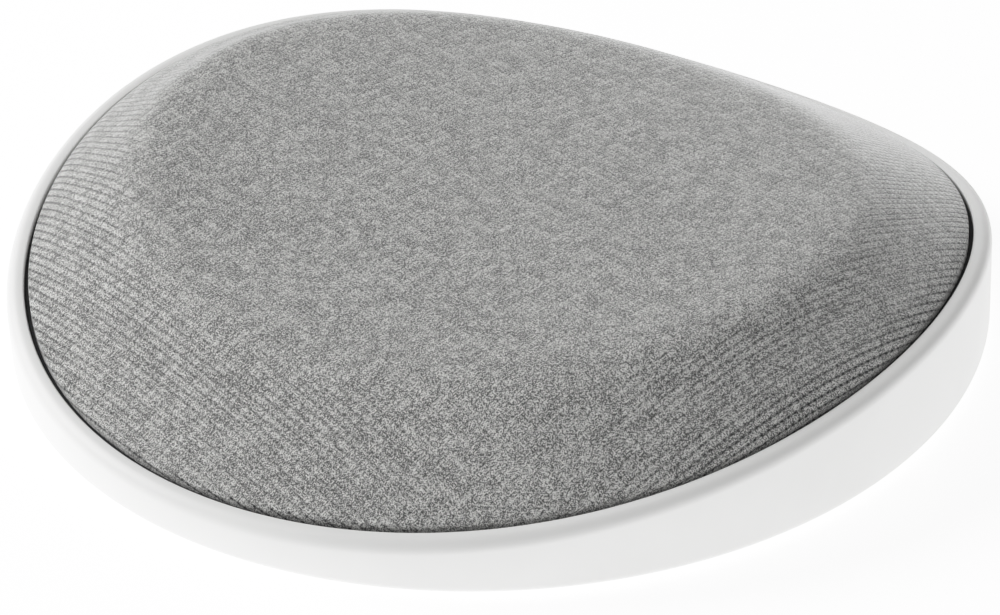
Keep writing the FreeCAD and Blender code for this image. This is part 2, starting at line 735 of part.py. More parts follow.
THROAT = f"({HOLE} - 0.7)"
ROLL_SEAT = "(cone_radius + 3.8)"
CORE = "(cone_radius - 3.2)"
basket_rough = revolved("basket_rough", [
    (f"{GAP} + 0.8", BASKET), ("magnet_radius", BASKET), (THROAT, f"{FLANGE} - 0.7"), (THROAT, FLANGE),
    (FLANGE_EDGE, FLANGE), (FLANGE_EDGE, FLANGE_TOP), (ROLL_SEAT, FLANGE_TOP), (ROLL_SEAT, f"{FLANGE} - 0.2"),
    ("cone_radius", SPIDER), (CORE, SPIDER), (CORE, f"{BASKET} + 1"), (f"{GAP} + 0.8", f"{BASKET} + 1"),
])
basket_cuts, gasket_holes = [], []
for k in range(4):
    window = box(f"window_{k}", "cone_radius + 0.5", "cone_radius + 3.3", "-6", "6", BASKET,
                 f"{FLANGE} - 0.1")
    turned = group(f"window_turned_{k}", [window])
    basket_cuts.append(place(turned, turn=45 + 90 * k))
    basket_cuts.append(cylinder(f"flange_hole_{k}", SLEEVE, f"{FLANGE} - 1", "3", *DRIVER_SCREWS[k]))
    gasket_holes.append(cylinder(f"gasket_hole_{k}", SLEEVE, "baffle_top - 1", "3", *DRIVER_SCREWS[k]))
node("driver_basket", cut("basket", basket_rough, *basket_cuts))
gasket_ring = ring("gasket_ring", FLANGE_EDGE, HOLE, "baffle_top", "driver_gasket_thick")
node("driver_gasket", cut("gasket", gasket_ring, *gasket_holes))
YOKE_EDGE = "(magnet_radius - 1)"
node("driver_yoke", revolved("yoke", [
    ("0", YOKE), (YOKE_EDGE, YOKE), (YOKE_EDGE, MAGNET), (POLE, MAGNET), (POLE, BASKET), ("0", BASKET),
]))
node("driver_magnet", ring("magnet", "magnet_radius", f"{GAP} + 0.6", MAGNET, "magnet_tall"))
node("driver_top_plate", ring("top_plate", YOKE_EDGE, GAP, TOP_PLATE, "top_plate_tall"))
node("driver_screws", group("driver_screw_set", [
    screw(f"driver_screw_{k}", "1.5", "1.1", "0.75", "4", *DRIVER_SCREWS[k], FLANGE_TOP, False)
    for k in range(4)
]))
TERMINALS = f"({ROLL_SEAT} - 1.1)"
# The strip ends level with the spider, or just under the basket's slope where that is lower.
SLOPE_SHARE = f"(({TERMINALS} - magnet_radius) / ({THROAT} - magnet_radius))"
UNDER_SLOPE = f"({BASKET} + ({FLANGE} - 0.7 - {BASKET}) * {SLOPE_SHARE} - 0.1)"
STRIP_TOP = f"min({SPIDER} + 0.2; {UNDER_SLOPE})"
node("driver_terminals", box("terminals", "-terminal_half", "terminal_half", TERMINALS,
                             f"{TERMINALS} + terminal_thick", "lead_up - 1", STRIP_TOP))

former = ring("former", "coil_radius", "coil_radius - former_wall", COIL_BOTTOM,
              f"{NECK} + 0.6 - {COIL_BOTTOM}")
winding = ring("winding", COIL_OUTER, "coil_radius - 0.1", COIL_BOTTOM, "winding_tall")
node("voice_coil", fuse("coil", former, winding))
CONE_NECK = "(coil_radius + 0.02)"
CONE_RIM = f"({FLANGE_TOP} - 0.9)"
node("driver_cone", revolved("cone", [
    (CONE_NECK, NECK), ("cone_radius", CONE_RIM), ("cone_radius", f"{CONE_RIM} + cone_thick"),
    (CONE_NECK, f"{NECK} + cone_thick + 0.1"),
]))
CAP_SPHERE = "(coil_radius * 2.3)"
CAP_MIDDLE = f"({NECK} + cap_rise - {CAP_SPHERE})"
cap_shell = []
for name, radius in (("cap_ball", CAP_SPHERE), ("cap_core", f"{CAP_SPHERE} - cap_wall")):
    ball = doc.addObject("Part::Sphere", name)
    cap_shell.append(place(bind(ball, Radius=radius), up=CAP_MIDDLE))
cap_trim = cylinder("cap_trim", "coil_radius - 0.02", f"{NECK} + 0.62", "5")
node("dust_cap", common("cap", cut("cap_hollow", *cap_shell), cap_trim))

SPIDER_FOLDS = 4
SPIDER_WAVE, SPIDER_THICK = 0.35, 0.25
spider_outline = [(CONE_NECK, SPIDER)]
for k in range(1, 2 * SPIDER_FOLDS + 1):
    share = k / (2 * SPIDER_FOLDS)
    lift = SPIDER_WAVE * (k % 2)
    spider_outline.append((f"(coil_radius + (cone_radius - 1.2 - coil_radius) * {share})",
                           f"{SPIDER} + {lift}"))
spider_top = [(radius, f"{up} + {SPIDER_THICK}") for radius, up in reversed(spider_outline)]
node("driver_spider", revolved("spider", spider_outline + spider_top))
ROLL_THICK = "0.3"


def half_roll(name, inner, outer, land, thick, up, across="0", along="0"):
    """A surround: a rolled bridge from a moving edge to a fixed one, with a flat land outside it."""
    rolls = []
    half = f"(({outer}) - ({inner})) / 2"
    for part, radius in (("skin", half), ("core", f"{half} - {thick}")):
        roll = doc.addObject("Part::Torus", f"{name}_{part}")
        bind(roll, Radius1=f"(({outer}) + ({inner})) / 2", Radius2=radius)
        rolls.append(place(roll, across, along, up))
    upper = cylinder(name + "_upper", land, up, outer, across, along)
    bridge = common(name + "_bridge", cut(name + "_hose", *rolls), upper)
    flat = ring(name + "_land", land, f"{outer} - {thick}", up, thick, across, along)
    return fuse(name, bridge, flat)


node("driver_surround", half_roll("surround", "cone_radius + 0.02", f"{ROLL_SEAT} + 0.1", "cone_radius + 5.4",
                                  ROLL_THICK, FLANGE_TOP))


# ---------------------------------------------------------------- passive radiator and ballast

AT_RADIATOR = ("0", f"-{RADIATOR_ALONG}")
node("passive_frame", ring("radiator_ring", "radiator_frame_radius", "radiator_frame_inner", "baffle_top",
                           "radiator_frame_tall", *AT_RADIATOR))
PLATE_BOTTOM = f"({RADIATOR_TOP} - radiator_plate_thick)"
node("passive_plate", cylinder("radiator_plate", "radiator_plate_radius", PLATE_BOTTOM,
                               "radiator_plate_thick",
                               *AT_RADIATOR))
node("passive_weight", cylinder("radiator_weight", "radiator_plate_radius - radiator_weight_in",
                                f"{PLATE_BOTTOM} - radiator_weight_tall", "radiator_weight_tall",
                                *AT_RADIATOR))
node("passive_surround", half_roll("radiator_roll", "radiator_plate_radius + 0.02",
                                   "radiator_frame_inner + 0.1",
                                   "radiator_frame_inner + 1.6", ROLL_THICK, RADIATOR_TOP, *AT_RADIATOR))
BALLAST = oblong("-ballast_half", "ballast_half", f"-{RADIATOR_ALONG} - ballast_ahead",
                 f"-{RADIATOR_ALONG} + ballast_behind")
node("ballast_plate", plate("ballast", BALLAST, FLOOR, "ballast_tall", "3"))


# ---------------------------------------------------------------- main board and what it carries

board_blank = plate("board_blank", oblong("-board_half", "board_half", BOARD_FRONT, "outer_radius"),
                    "board_bottom",
                    "board_thick", "2")
board_disc = cylinder("board_disc", BOARD_EDGE, "board_bottom - 1", "board_thick + 2")
board_holes = [
    cylinder(f"board_hole_{k}", "small_shank_radius + head_gap", "board_bottom - 1", "board_thick + 2",
             *BOARD_HOLES[k])
    for k in range(4)
]
node("main_board", cut("board", common("board_outline", board_blank, board_disc), *board_holes))
node("board_screws", group("board_screw_set", [
    screw(f"board_screw_{k}", "2", "1.3", "small_shank_radius", f"({BOARD_TOP} - foot_drop - 1.4)",
          *BOARD_HOLES[k], BOARD_TOP, False)
    for k in range(4)
]))


def on_board(name, x, y, wide, deep, tall, lift=0.0):
    """A block on the main board, given by its middle and its sizes."""
    return block_on_board(name, x, f"{BOARD_FRONT} + {y - deep / 2:.4f}", wide, deep, tall, lift)


def block_on_board(name, x, front, wide, deep, tall, lift=0.0):
    """A block on the main board, given by its middle across and where its front face is."""
    left, right, low = f"{x - wide / 2:.4f}", f"{x + wide / 2:.4f}", f"{BOARD_TOP} + {lift:.4f}"
    return box(name, left, right, front, f"{front} + {deep}", low, f"{low} + {tall:.4f}")


wide, deep, tall = SHIELD
can = on_board("shield_can", *PROCESSOR, wide, deep, tall)
inside = on_board("shield_inside", *PROCESSOR, wide - 2 * SHIELD_WALL, deep - 2 * SHIELD_WALL,
                  tall - SHIELD_WALL)
node("processor_shield", cut("shield", can, inside))
chips = [on_board(name, *chip) for name, chip in CHIPS.items()]
across, from_edge, wide, deep, tall = CHOKE
chips.append(block_on_board("choke", across, f"{BOARD_EDGE} - {from_edge + deep / 2}", wide, deep, tall))
node("board_chips", group("chips", chips))
can_places = [(REAR_CAPACITOR[0], f"{BOARD_EDGE} - {REAR_CAPACITOR[1]}")]
can_places += [(x, f"{BOARD_FRONT} + {y}") for x, y in CAPACITORS]
node("board_capacitors", group("capacitors", [
    cylinder(f"capacitor_{k}", f"{CAPACITOR_RADIUS}", BOARD_TOP, f"{CAPACITOR_TALL}", f"{x}", along)
    for k, (x, along) in enumerate(can_places)
]))
node("board_connectors", group("sockets", [on_board(name, *socket) for name, socket in SOCKETS.items()]))
node("thermal_pad", on_board("pad", *PROCESSOR, *PAD, SHIELD[2]))
SPREADER_UP = SHIELD[2] + PAD[2]
spreader_parts = [on_board("spreader_plate", *PROCESSOR, *SPREADER, SPREADER_UP)]
for side in (-1, 1):
    middle = PROCESSOR[0] + side * (SPREADER[0] - SPREADER[2]) / 2
    leg_tall = SPREADER_UP + SPREADER[2] / 6
    spreader_parts.append(on_board(f"spreader_leg_{len(spreader_parts)}", middle, PROCESSOR[1], SPREADER[2],
                                   SPREADER_LEG_DEEP, leg_tall))
node("heat_spreader", fuse("spreader", *spreader_parts))

port_shell = slot_through_wall("port_shell", "port_wide / 2", "port_tall / 2", PORT_MIDDLE, PORT_BACK,
                               PORT_MOUTH)
port_bore = slot_through_wall("port_bore", "port_wide / 2 - port_wall", "port_tall / 2 - port_wall",
                              PORT_MIDDLE,
                              f"{PORT_BACK} + 1", f"{PORT_MOUTH} + 1")
TONGUE = "(port_wide / 2 - 1.15)"
port_tongue = box("port_tongue", f"-{TONGUE}", TONGUE, f"{PORT_BACK} + 0.5", f"{PORT_MOUTH} - 1.3",
                  f"{PORT_MIDDLE} - tongue_half", f"{PORT_MIDDLE} + tongue_half")
node("usb_port", fuse("port", cut("port_can", port_shell, port_bore), port_tongue))


# ---------------------------------------------------------------- controls on the rear wall

SWITCH_BACK = f"({BOARD_EDGE} - switch_from_edge)"
switch_case = box("switch_case", "-switch_half", "switch_half", f"{SWITCH_BACK} - switch_deep", SWITCH_BACK,
                  BOARD_TOP, f"{BOARD_TOP} + switch_tall")
SLOT_HALF = "(stem_half + mute_travel / 2 + control_gap)"
switch_slot = box("switch_slot", f"-{SLOT_HALF}", SLOT_HALF, f"{SWITCH_BACK} - 1.4", BOARD_EDGE,
                  f"{KNOB_MIDDLE} - 0.9", f"{KNOB_MIDDLE} + 0.9")
node("mute_switch_body", on_wall("mute_body", [cut("mute_body_cut", switch_case, switch_slot)],
                                 v.mute_angle, 1))

REST = "-mute_travel / 2"
slider_stem = box("slider_stem", f"{REST} - stem_half", f"{REST} + stem_half", f"{SWITCH_BACK} - 1",
                  f"{WELL} + 0.4",
                  f"{KNOB_MIDDLE} - 0.5", f"{KNOB_MIDDLE} + 0.5")
SHUTTER_INSIDE = f"({WELL} - 1.5)"
slider_shutter = box("slider_shutter", f"{REST} - shutter_half", f"{REST} + shutter_half", SHUTTER_INSIDE,
                     f"{SHUTTER_INSIDE} + shutter_thick", f"{KNOB_MIDDLE} - mute_up + 0.3",
                     f"{KNOB_MIDDLE} + 2.4")
knob_low = Vector(-v.mute_travel / 2 - v.knob_wide / 2, well_radius + 0.2,
                  board_top + v.mute_up - v.knob_tall / 2)
knob_block = Part.makeBox(v.knob_wide, v.lip_width - 0.2 + v.knob_proud, v.knob_tall, knob_low)
knob_long = [edge for edge in knob_block.Edges if abs(edge.tangentAt(edge.FirstParameter).y) > 0.99]
slider_knob = solid("slider_knob", knob_block.makeFillet(v.knob_tall * 0.45, knob_long))
node("mute_slider", on_wall("slider", [slider_stem, slider_shutter, slider_knob], v.mute_angle, 1))

RESET_BACK = f"({BOARD_EDGE} - 1)"
reset_case = box("reset_case", "-reset_half", "reset_half", f"{RESET_BACK} - reset_deep", RESET_BACK,
                 BOARD_TOP, f"{BOARD_TOP} + reset_tall")
node("reset_switch_body", on_wall("reset_body", [reset_case], v.reset_angle, -1))
reset_stem = rod("reset_stem", "reset_stem_radius", f"{RESET_BACK} + 0.7", f"{WELL} - 0.6", RESET_MIDDLE)
reset_collar = rod("reset_collar", "reset_radius + 0.8", f"{WELL} - 1", f"{WELL} - 0.4", RESET_MIDDLE)
reset_cap = rod("reset_cap", "reset_radius", f"{WELL} - 0.5", "outer_radius - reset_recess", RESET_MIDDLE)
node("reset_button", on_wall("reset", [reset_stem, reset_collar, reset_cap], v.reset_angle, -1))


# ---------------------------------------------------------------- microphones, status light, antennas

PAD_BOTTOM = "(mic_seat - mic_pad_thick)"
MIC_BOARD = f"({PAD_BOTTOM} - mic_board_thick)"


def mic_box(name, side, x_half, y_half, low, high):
    middle = f"{side}mic_across"
    return box(name, f"{middle} - {x_half}", f"{middle} + {x_half}", f"-mic_along - {y_half}",
               f"-mic_along + {y_half}", low, high)


def mic_holes(name, side, low, port_radius):
    holes = [cylinder(f"{name}_port", port_radius, f"{low} - 1", "5", f"{side}mic_across", "-mic_along")]
    for k, offset in enumerate(("- mic_hole", "+ mic_hole")):
        across = f"{side}mic_across {offset}"
        holes.append(cylinder(f"{name}_hole{k}", SLEEVE, f"{low} - 1", "5", across, "-mic_along"))
    return holes


mic_gaskets, microphones, mic_screws = [], [], []
for hand, side in (("left", "-"), ("right", "")):
    tag = hand + "_mic"
    board = mic_box(tag + "_blank", side, "mic_half_wide", "mic_half_deep", MIC_BOARD, PAD_BOTTOM)
    node(tag + "_board", cut(tag + "_board", board, *mic_holes(tag, side, MIC_BOARD, "0.5")))
    sheet_pad = mic_box(tag + "_pad", side, "mic_half_wide", "mic_half_deep", PAD_BOTTOM, "mic_seat")
    mic_gaskets.append(cut(tag + "_gasket", sheet_pad, *mic_holes(tag + "_gasket", side, PAD_BOTTOM, "0.8")))
    microphones.append(mic_box(tag, side, 1.4, 1.8, f"{MIC_BOARD} - 1.1", MIC_BOARD))
    for k, offset in enumerate(("- mic_hole", "+ mic_hole")):
        mic_screws.append(screw(f"{tag}_screw{k}", "1.3", "0.9", "small_shank_radius", "3.9",
                                f"{side}mic_across {offset}", "-mic_along", MIC_BOARD, True))
node("mic_gaskets", group("mic_gasket_set", mic_gaskets))
node("microphones", group("microphone_set", microphones))
node("mic_screws", group("mic_screw_set", mic_screws))

LIGHT_BOARD = "(light_seat - light_board_thick)"
LIGHT_OUTLINE = oblong("-light_half", "light_half", "light_along - 3", "light_along + 3")
light_board = plate("light_board_blank", LIGHT_OUTLINE,
                    LIGHT_BOARD, "light_board_thick", "1.5")
AT_LIGHT = [(f"{side}light_hole", "light_along") for side in BOTH]
light_holes = [cylinder(f"light_board_hole_{k}", SLEEVE, "light_seat - 2", "4", *AT_LIGHT[k])
               for k in range(2)]
node("led_board", cut("light_board", light_board, *light_holes))
node("leds", group("led_set", [
    box(f"led_{k}", f"{x - LED_HALF}", f"{x + LED_HALF}", f"light_along - {LED_HALF}",
        f"light_along + {LED_HALF}",
        "light_seat", f"light_seat + {LED_TALL}")
    for k, x in enumerate(LEDS_ACROSS)
]))
under_foam = v.crown + v.ridge_bend * v.light_along ** 2 - v.valley_bend * v.guide_half ** 2 - frame_drop
GUIDE_BOTTOM = f"(light_seat + {LED_TALL + 0.1})"
node("light_guide", plate("guide", oblong("-guide_half", "guide_half", "light_along - guide_thick / 2",
                                          "light_along + guide_thick / 2"),
                          GUIDE_BOTTOM, f"{under_foam - 0.4:.6f} - {GUIDE_BOTTOM}", "0.5"))
node("led_screws", group("led_screw_set", [
    screw(f"led_screw_{k}", "1.4", "1", "small_shank_radius", "3.4", *AT_LIGHT[k], LIGHT_BOARD, True)
    for k in range(2)
]))
for hand, side in (("left", "-"), ("right", "")):
    low, high = (f"{side}{ANTENNA} {sign} antenna_thick / 2" for sign in "-+")
    node(f"{hand}_antenna", box(f"{hand}_antenna_strip", low, high, "-antenna_front", "-antenna_rear",
                                FLOOR, f"{FLOOR} + antenna_tall"))


# ---------------------------------------------------------------- leads

terminal_face = v.cone_radius + 2.7 + v.terminal_thick
leads = []
for side in (-1, 1):
    x = side * (v.lead_radius + 0.1)
    leads.append(tube([
        Vector(x, terminal_face, v.lead_up), Vector(x, chassis_rear + 0.9, v.lead_up),
        Vector(x, board_front - 1.6, board_top + 1.6), Vector(x, board_front + 1, board_top + 1.6),
    ], v.lead_radius))
node("speaker_lead", solid("speaker_pair", Part.makeCompound(leads)))
FACE_INSIDE = f"({CHASSIS_REAR} - chassis_wall)"
GROMMET_INSIDE, GROMMET_OUTSIDE = f"{FACE_INSIDE} - grommet_lip", f"{CHASSIS_REAR} + grommet_lip"
grommet_parts = [
    rod("grommet_barrel", "grommet_radius - screw_gap", GROMMET_INSIDE, GROMMET_OUTSIDE, "lead_up"),
    rod("grommet_inside", "grommet_flange", GROMMET_INSIDE, FACE_INSIDE, "lead_up"),
    rod("grommet_outside", "grommet_flange", CHASSIS_REAR, GROMMET_OUTSIDE, "lead_up"),
]
grommet_bore = rod("grommet_bore", "2 * lead_radius + 0.15", f"{CHASSIS_REAR} - 5", f"{CHASSIS_REAR} + 5",
                   "lead_up")
node("lead_grommet", cut("grommet", fuse("grommet_full", *grommet_parts), grommet_bore))

mic_wires = []
socket_face = MIC_SOCKET[0] + MIC_SOCKET[2] / 2
socket_middle = board_front + MIC_SOCKET[1]
for side in (-1, 1):
    mic_wires.append(tube([
        Vector(side * v.mic_across, v.mic_half_deep - v.mic_along, v.mic_seat - 1),
        Vector(side * v.mic_across, v.mic_half_deep - v.mic_along + 6, v.mic_seat - 1.5),
        Vector(side * (v.mic_across - 4), 18, 9.6),
        Vector(side * (v.mic_across - 9), 30, 9.2),
        Vector(side * (v.board_half + 5), board_front + 6, 9.2),
        Vector(side * (v.board_half + 2.6), socket_middle, board_top + 1.7),
        Vector(side * socket_face, socket_middle, board_top + 1.7),
    ], v.lead_radius))
node("mic_leads", solid("mic_wires", Part.makeCompound(mic_wires)))

ribbon_across, ribbon_along = LIGHT_SOCKET[0], v.light_along - 2
socket_along = board_front + LIGHT_SOCKET[1]
ribbon_points = [
    Vector(ribbon_across, ribbon_along, v.light_seat - v.light_board_thick),
    Vector(ribbon_across, ribbon_along, v.light_seat - 3.4),
    Vector(ribbon_across, socket_along, board_top + 5.2),
    Vector(ribbon_across, socket_along, board_top + LIGHT_SOCKET[4]),
]
ribbon_corners = []
for right, up in ((-1, -1), (1, -1), (1, 1), (-1, 1), (-1, -1)):
    ribbon_corners.append(ribbon_points[0] + Vector(right * v.ribbon_half, up * v.ribbon_thick / 2, 0))
ribbon_section = Part.makePolygon(ribbon_corners)
ribbon = rounded_path(ribbon_points).makePipeShell([ribbon_section], True, False)
node("ribbon_cable", solid("ribbon", ribbon))


# ---------------------------------------------------------------- checks and export

doc.recompute()
failed = [thing.Name for thing in doc.Objects if "Invalid" in thing.State or "Error" in thing.State]
if failed:
    raise RuntimeError("these did not build: " + ", ".join(failed))
os.makedirs("parts", exist_ok=True)
for piece in NODES:
    shape = piece.Shape
    if shape.isNull() or not shape.isValid() or not shape.Solids:
        raise RuntimeError(f"{piece.Label} is not a sound solid")
for piece in NODES:
    piece.Shape.exportStep(f"parts/{piece.Label}.step")
    span = piece.Shape.BoundBox
    print(f"{piece.Label:20s} {len(piece.Shape.Solids)} solids {piece.Shape.Volume:10.2f} mm3 "
          f"x {span.XMin:.2f}..{span.XMax:.2f} y {span.YMin:.2f}..{span.YMax:.2f} "
          f"z {span.ZMin:.2f}..{span.ZMax:.2f}")
print(len(NODES), "nodes")
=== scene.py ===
# %% [markdown]
# # A round table speaker with a padded knit top
#
# The real thing is a low white tray, about as wide as a hand is long. Its lip isn't level: it is cut to a saddle,
# high at the front and the rear and low at the two sides. A foam pad under a stretched grey knit fills the tray and
# swells above the lip, with a thin dark gap all round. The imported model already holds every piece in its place, in
# metres, so it comes first, and everything below is fitted to it.

# %% Load the fixed frame
import math

import bpy
import bmesh
from mathutils import Matrix, Vector


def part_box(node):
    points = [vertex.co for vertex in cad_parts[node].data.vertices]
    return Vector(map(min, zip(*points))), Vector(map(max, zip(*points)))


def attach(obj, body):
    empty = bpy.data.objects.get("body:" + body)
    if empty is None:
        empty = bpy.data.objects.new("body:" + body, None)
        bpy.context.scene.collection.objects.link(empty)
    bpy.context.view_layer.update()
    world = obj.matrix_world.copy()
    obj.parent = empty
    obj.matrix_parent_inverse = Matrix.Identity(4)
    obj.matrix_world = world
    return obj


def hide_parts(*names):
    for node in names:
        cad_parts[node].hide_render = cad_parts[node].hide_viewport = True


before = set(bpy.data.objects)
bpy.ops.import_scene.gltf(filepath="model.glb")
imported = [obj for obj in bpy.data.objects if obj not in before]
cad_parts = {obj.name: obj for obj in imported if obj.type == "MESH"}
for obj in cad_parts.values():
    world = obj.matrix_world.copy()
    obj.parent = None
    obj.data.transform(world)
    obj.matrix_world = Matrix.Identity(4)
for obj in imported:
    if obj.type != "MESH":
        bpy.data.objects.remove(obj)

scene = bpy.context.scene
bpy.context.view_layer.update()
MM = 0.001

# %% [markdown]
# ## The viewer
#
# A long lens from a little above keeps a small round object round. The viewer stands over one shoulder of the
# speaker, so that a high side of the lip and a low side both show, and holds the camera very slightly off level.

# %% Camera
VIEW_AZIMUTH = math.radians(-50.5)
VIEW_ELEVATION = math.radians(32.5)
VIEW_ROLL = math.radians(-2.7)
VIEW_DISTANCE = 0.6
LENS = 140.0


def direction(azimuth, elevation):
    """The unit vector from the speaker towards a viewer or a lamp."""
    level = math.cos(elevation)
    return Vector((math.sin(azimuth) * level, -math.cos(azimuth) * level, math.sin(elevation)))


def aimed(thing, azimuth, elevation, distance, roll=0.0):
    """Puts a camera or a lamp on a sphere round the speaker, looking at its foot."""
    towards = direction(azimuth, elevation)
    thing.location = towards * distance
    turn = (-towards).to_track_quat("-Z", "Y").to_matrix() @ Matrix.Rotation(roll, 3, "Z")
    thing.rotation_euler = turn.to_euler()
    scene.collection.objects.link(thing)
    return thing


camera_data = bpy.data.cameras.new("viewer")
camera_data.lens = LENS
camera_data.sensor_width = 36.0
camera_data.clip_start = 0.01
camera = bpy.data.objects.new("viewer", camera_data)
scene.camera = aimed(camera, VIEW_AZIMUTH, VIEW_ELEVATION, VIEW_DISTANCE, VIEW_ROLL)
print("camera at", [round(number, 3) for number in camera.location])

# %% [markdown]
# ## Arithmetic that builds nodes
#
# Both a material and a Geometry Nodes tree are webs of small boxes. Wiring them by hand hides the sum that they work
# out, so a socket is wrapped in a class whose operators add the Math nodes. `1 - mask` then reads as what it is.
# Every other kind of node comes from one method, `add`: its settings are set first, because they decide which
# sockets the node has, and then its sockets get a value or a link.

# %% A socket that can be added and multiplied
class Socket:
    def __init__(self, tree, output):
        self.tree = tree
        self.output = output

    def out(self, name):
        """Another output of the node that this one comes from."""
        return Socket(self.tree, self.tree.find(self.output.node.outputs, name))

    def math(self, operation, *others):
        return self.tree.add("ShaderNodeMath", dict(enumerate((self, *others))), operation=operation)

    def reflected(self, operation, other):
        return self.tree.add("ShaderNodeMath", {0: other, 1: self}, operation=operation)

    def __add__(self, other):
        return self.math("ADD", other)

    def __radd__(self, other):
        return self.reflected("ADD", other)

    def __sub__(self, other):
        return self.math("SUBTRACT", other)

    def __rsub__(self, other):
        return self.reflected("SUBTRACT", other)

    def __mul__(self, other):
        return self.math("MULTIPLY", other)

    def __rmul__(self, other):
        return self.reflected("MULTIPLY", other)

    def __truediv__(self, other):
        return self.math("DIVIDE", other)

    def __rtruediv__(self, other):
        return self.reflected("DIVIDE", other)

    def __pow__(self, other):
        return self.math("POWER", other)

    def __neg__(self):
        return self.reflected("SUBTRACT", 0.0)


# %% A tree that adds any node
class Tree:
    def __init__(self, node_tree):
        self.nodes = node_tree.nodes
        self.links = node_tree.links

    def find(self, sockets, key):
        """A socket by its name, or by its place among those that the node's settings leave in use."""
        used = [socket for socket in sockets if socket.enabled]
        if isinstance(key, int):
            return used[key]
        return [socket for socket in used if socket.name == key][0]

    def add(self, kind, sockets=None, out=0, **settings):
        node = self.nodes.new(kind)
        for name, value in settings.items():
            if name == "stops":
                self.set_stops(node.color_ramp.elements, value)
            else:
                setattr(node, name, value)
        for key, value in (sockets or {}).items():
            target = self.find(node.inputs, key)
            if isinstance(value, Socket):
                self.links.new(value.output, target)
            else:
                target.default_value = value
        return Socket(self, self.find(node.outputs, out))

    def set_stops(self, elements, stops):
        while len(elements) < len(stops):
            elements.new(1.0)
        for element, (position, colour) in zip(elements, stops):
            element.position = position
            element.color = colour

    def mix(self, factor, first, second):
        """A colour between two colours, each a socket or three numbers."""
        first, second = (colour if isinstance(colour, Socket) else (*colour, 1.0) for colour in (first, second))
        return self.add("ShaderNodeMix", {"Factor": factor, "A": first, "B": second}, "Result", data_type="RGBA")

    def between(self, value, low, high, new_low=0.0, new_high=1.0):
        """The value's place between low and high, smoothed, as a number from new_low to new_high."""
        sockets = {"Value": value, "From Min": low, "From Max": high, "To Min": new_low, "To Max": new_high}
        return self.add("ShaderNodeMapRange", sockets, interpolation_type="SMOOTHSTEP")

    def noise(self, place, scale, detail=2.0, roughness=0.5):
        sockets = {"Vector": place, "Scale": scale, "Detail": detail, "Roughness": roughness}
        return self.add("ShaderNodeTexNoise", sockets)


# %% [markdown]
# ## What a finish is made of
#
# Each material starts from the same plain surface shader. A number that is the same all over, such as the sheen of
# a cloth, is set on the shader itself. What varies, such as colour, roughness and the small relief, is worked out
# from the place on the piece and linked in.

# %% Start a material
class Finish(Tree):
    def __init__(self, name, colour, roughness=0.5, metallic=0.0, **fixed):
        self.material = bpy.data.materials.new(name)
        self.material.use_nodes = True
        super().__init__(self.material.node_tree)
        self.shader = [node for node in self.nodes if node.type == "BSDF_PRINCIPLED"][0]
        self.set("Base Color", colour)
        self.set("Roughness", roughness)
        self.set("Metallic", metallic)
        for key, value in fixed.items():
            self.set(key.replace("_", " ").title().replace("Ior", "IOR"), value)

    def set(self, name, value):
        target = self.shader.inputs[name]
        if isinstance(value, Socket):
            self.links.new(value.output, target)
        else:
            target.default_value = (*value, 1.0) if isinstance(value, tuple) and len(value) == 3 else value

    def place(self):
        return self.add("ShaderNodeTexCoord", out="Object")

    def relief(self, height, depth, strength=1.0):
        """Small ups and downs; depth is how far a height of 1 stands up, in metres."""
        bump = self.add("ShaderNodeBump", {"Height": height, "Distance": depth, "Strength": strength}, "Normal")
        self.set("Normal", bump)


print("helpers ready")

# %% [markdown]
# ## The room
#
# A small white product is shown on a white table in a bright room, with one large soft lamp behind it. The lamp
# grazes the padding, so that the slope that faces the viewer goes dark, and the knit stands out. The room is
# brighter near the horizon than overhead, as between white screens, and that light, with what the white table
# throws back, fills the upright wall of the tray. There is less of it behind, where the lamp lights the wall.

# %% Table, lamp and room light
OVERHEAD, SCREENS, BEHIND = 0.38, 0.95, 0.05
SCREEN_TOP, SIDE_FROM, SIDE_TO = 0.26, -0.2, 0.8
KEY_AZIMUTH, KEY_ELEVATION = math.radians(194.0), math.radians(36.0)
KEY_DISTANCE, KEY_SIZE, KEY_POWER = 1.0, 0.7, 7.5
TABLE_SIZE, TABLE_DROP, TABLE_GLOW = 8.0, 0.0002, 0.85

key = bpy.data.lights.new("key", "AREA")
key.shape = "DISK"
key.size = KEY_SIZE
key.energy = KEY_POWER
aimed(bpy.data.objects.new("key", key), KEY_AZIMUTH, KEY_ELEVATION, KEY_DISTANCE)

world = bpy.data.worlds.new("room")
world.use_nodes = True
scene.world = world
room = Tree(world.node_tree)
background = [node for node in room.nodes if node.type == "BACKGROUND"][0]
background.inputs["Color"].default_value = (1.0, 1.0, 1.0, 1.0)
upward = room.add("ShaderNodeSeparateXYZ", {"Vector": room.add("ShaderNodeTexCoord", out="Generated")}, "Z")
screen = room.between(upward, 0.0, SCREEN_TOP, 1.0, 0.0)
screen = screen * (SCREENS - OVERHEAD) * room.between(upward.out("Y"), SIDE_FROM, SIDE_TO, 1.0, BEHIND)
room.links.new((screen + OVERHEAD).output, background.inputs["Strength"])

bpy.ops.mesh.primitive_plane_add(size=TABLE_SIZE, location=(0.0, 0.0, -TABLE_DROP))
table = bpy.context.object
table.name = "table"
paint = Finish("white_table", (0.93, 0.93, 0.93), 0.75, emission_color=(1.0, 1.0, 1.0), emission_strength=TABLE_GLOW)
paint.set("Roughness", paint.between(paint.noise(paint.place(), 30.0), 0.3, 0.7, 0.7, 0.85))
table.data.materials.append(paint.material)

# %% [markdown]
# White plastic beside a lamp is soon brighter than a screen can show, and its shape is lost. Film handles this with a
# shoulder: brightness up to a level stays as it is, and what lies above it closes up slowly to white. The combined
# curve of the view settings does the same, and its white level says which brightness becomes pure white.

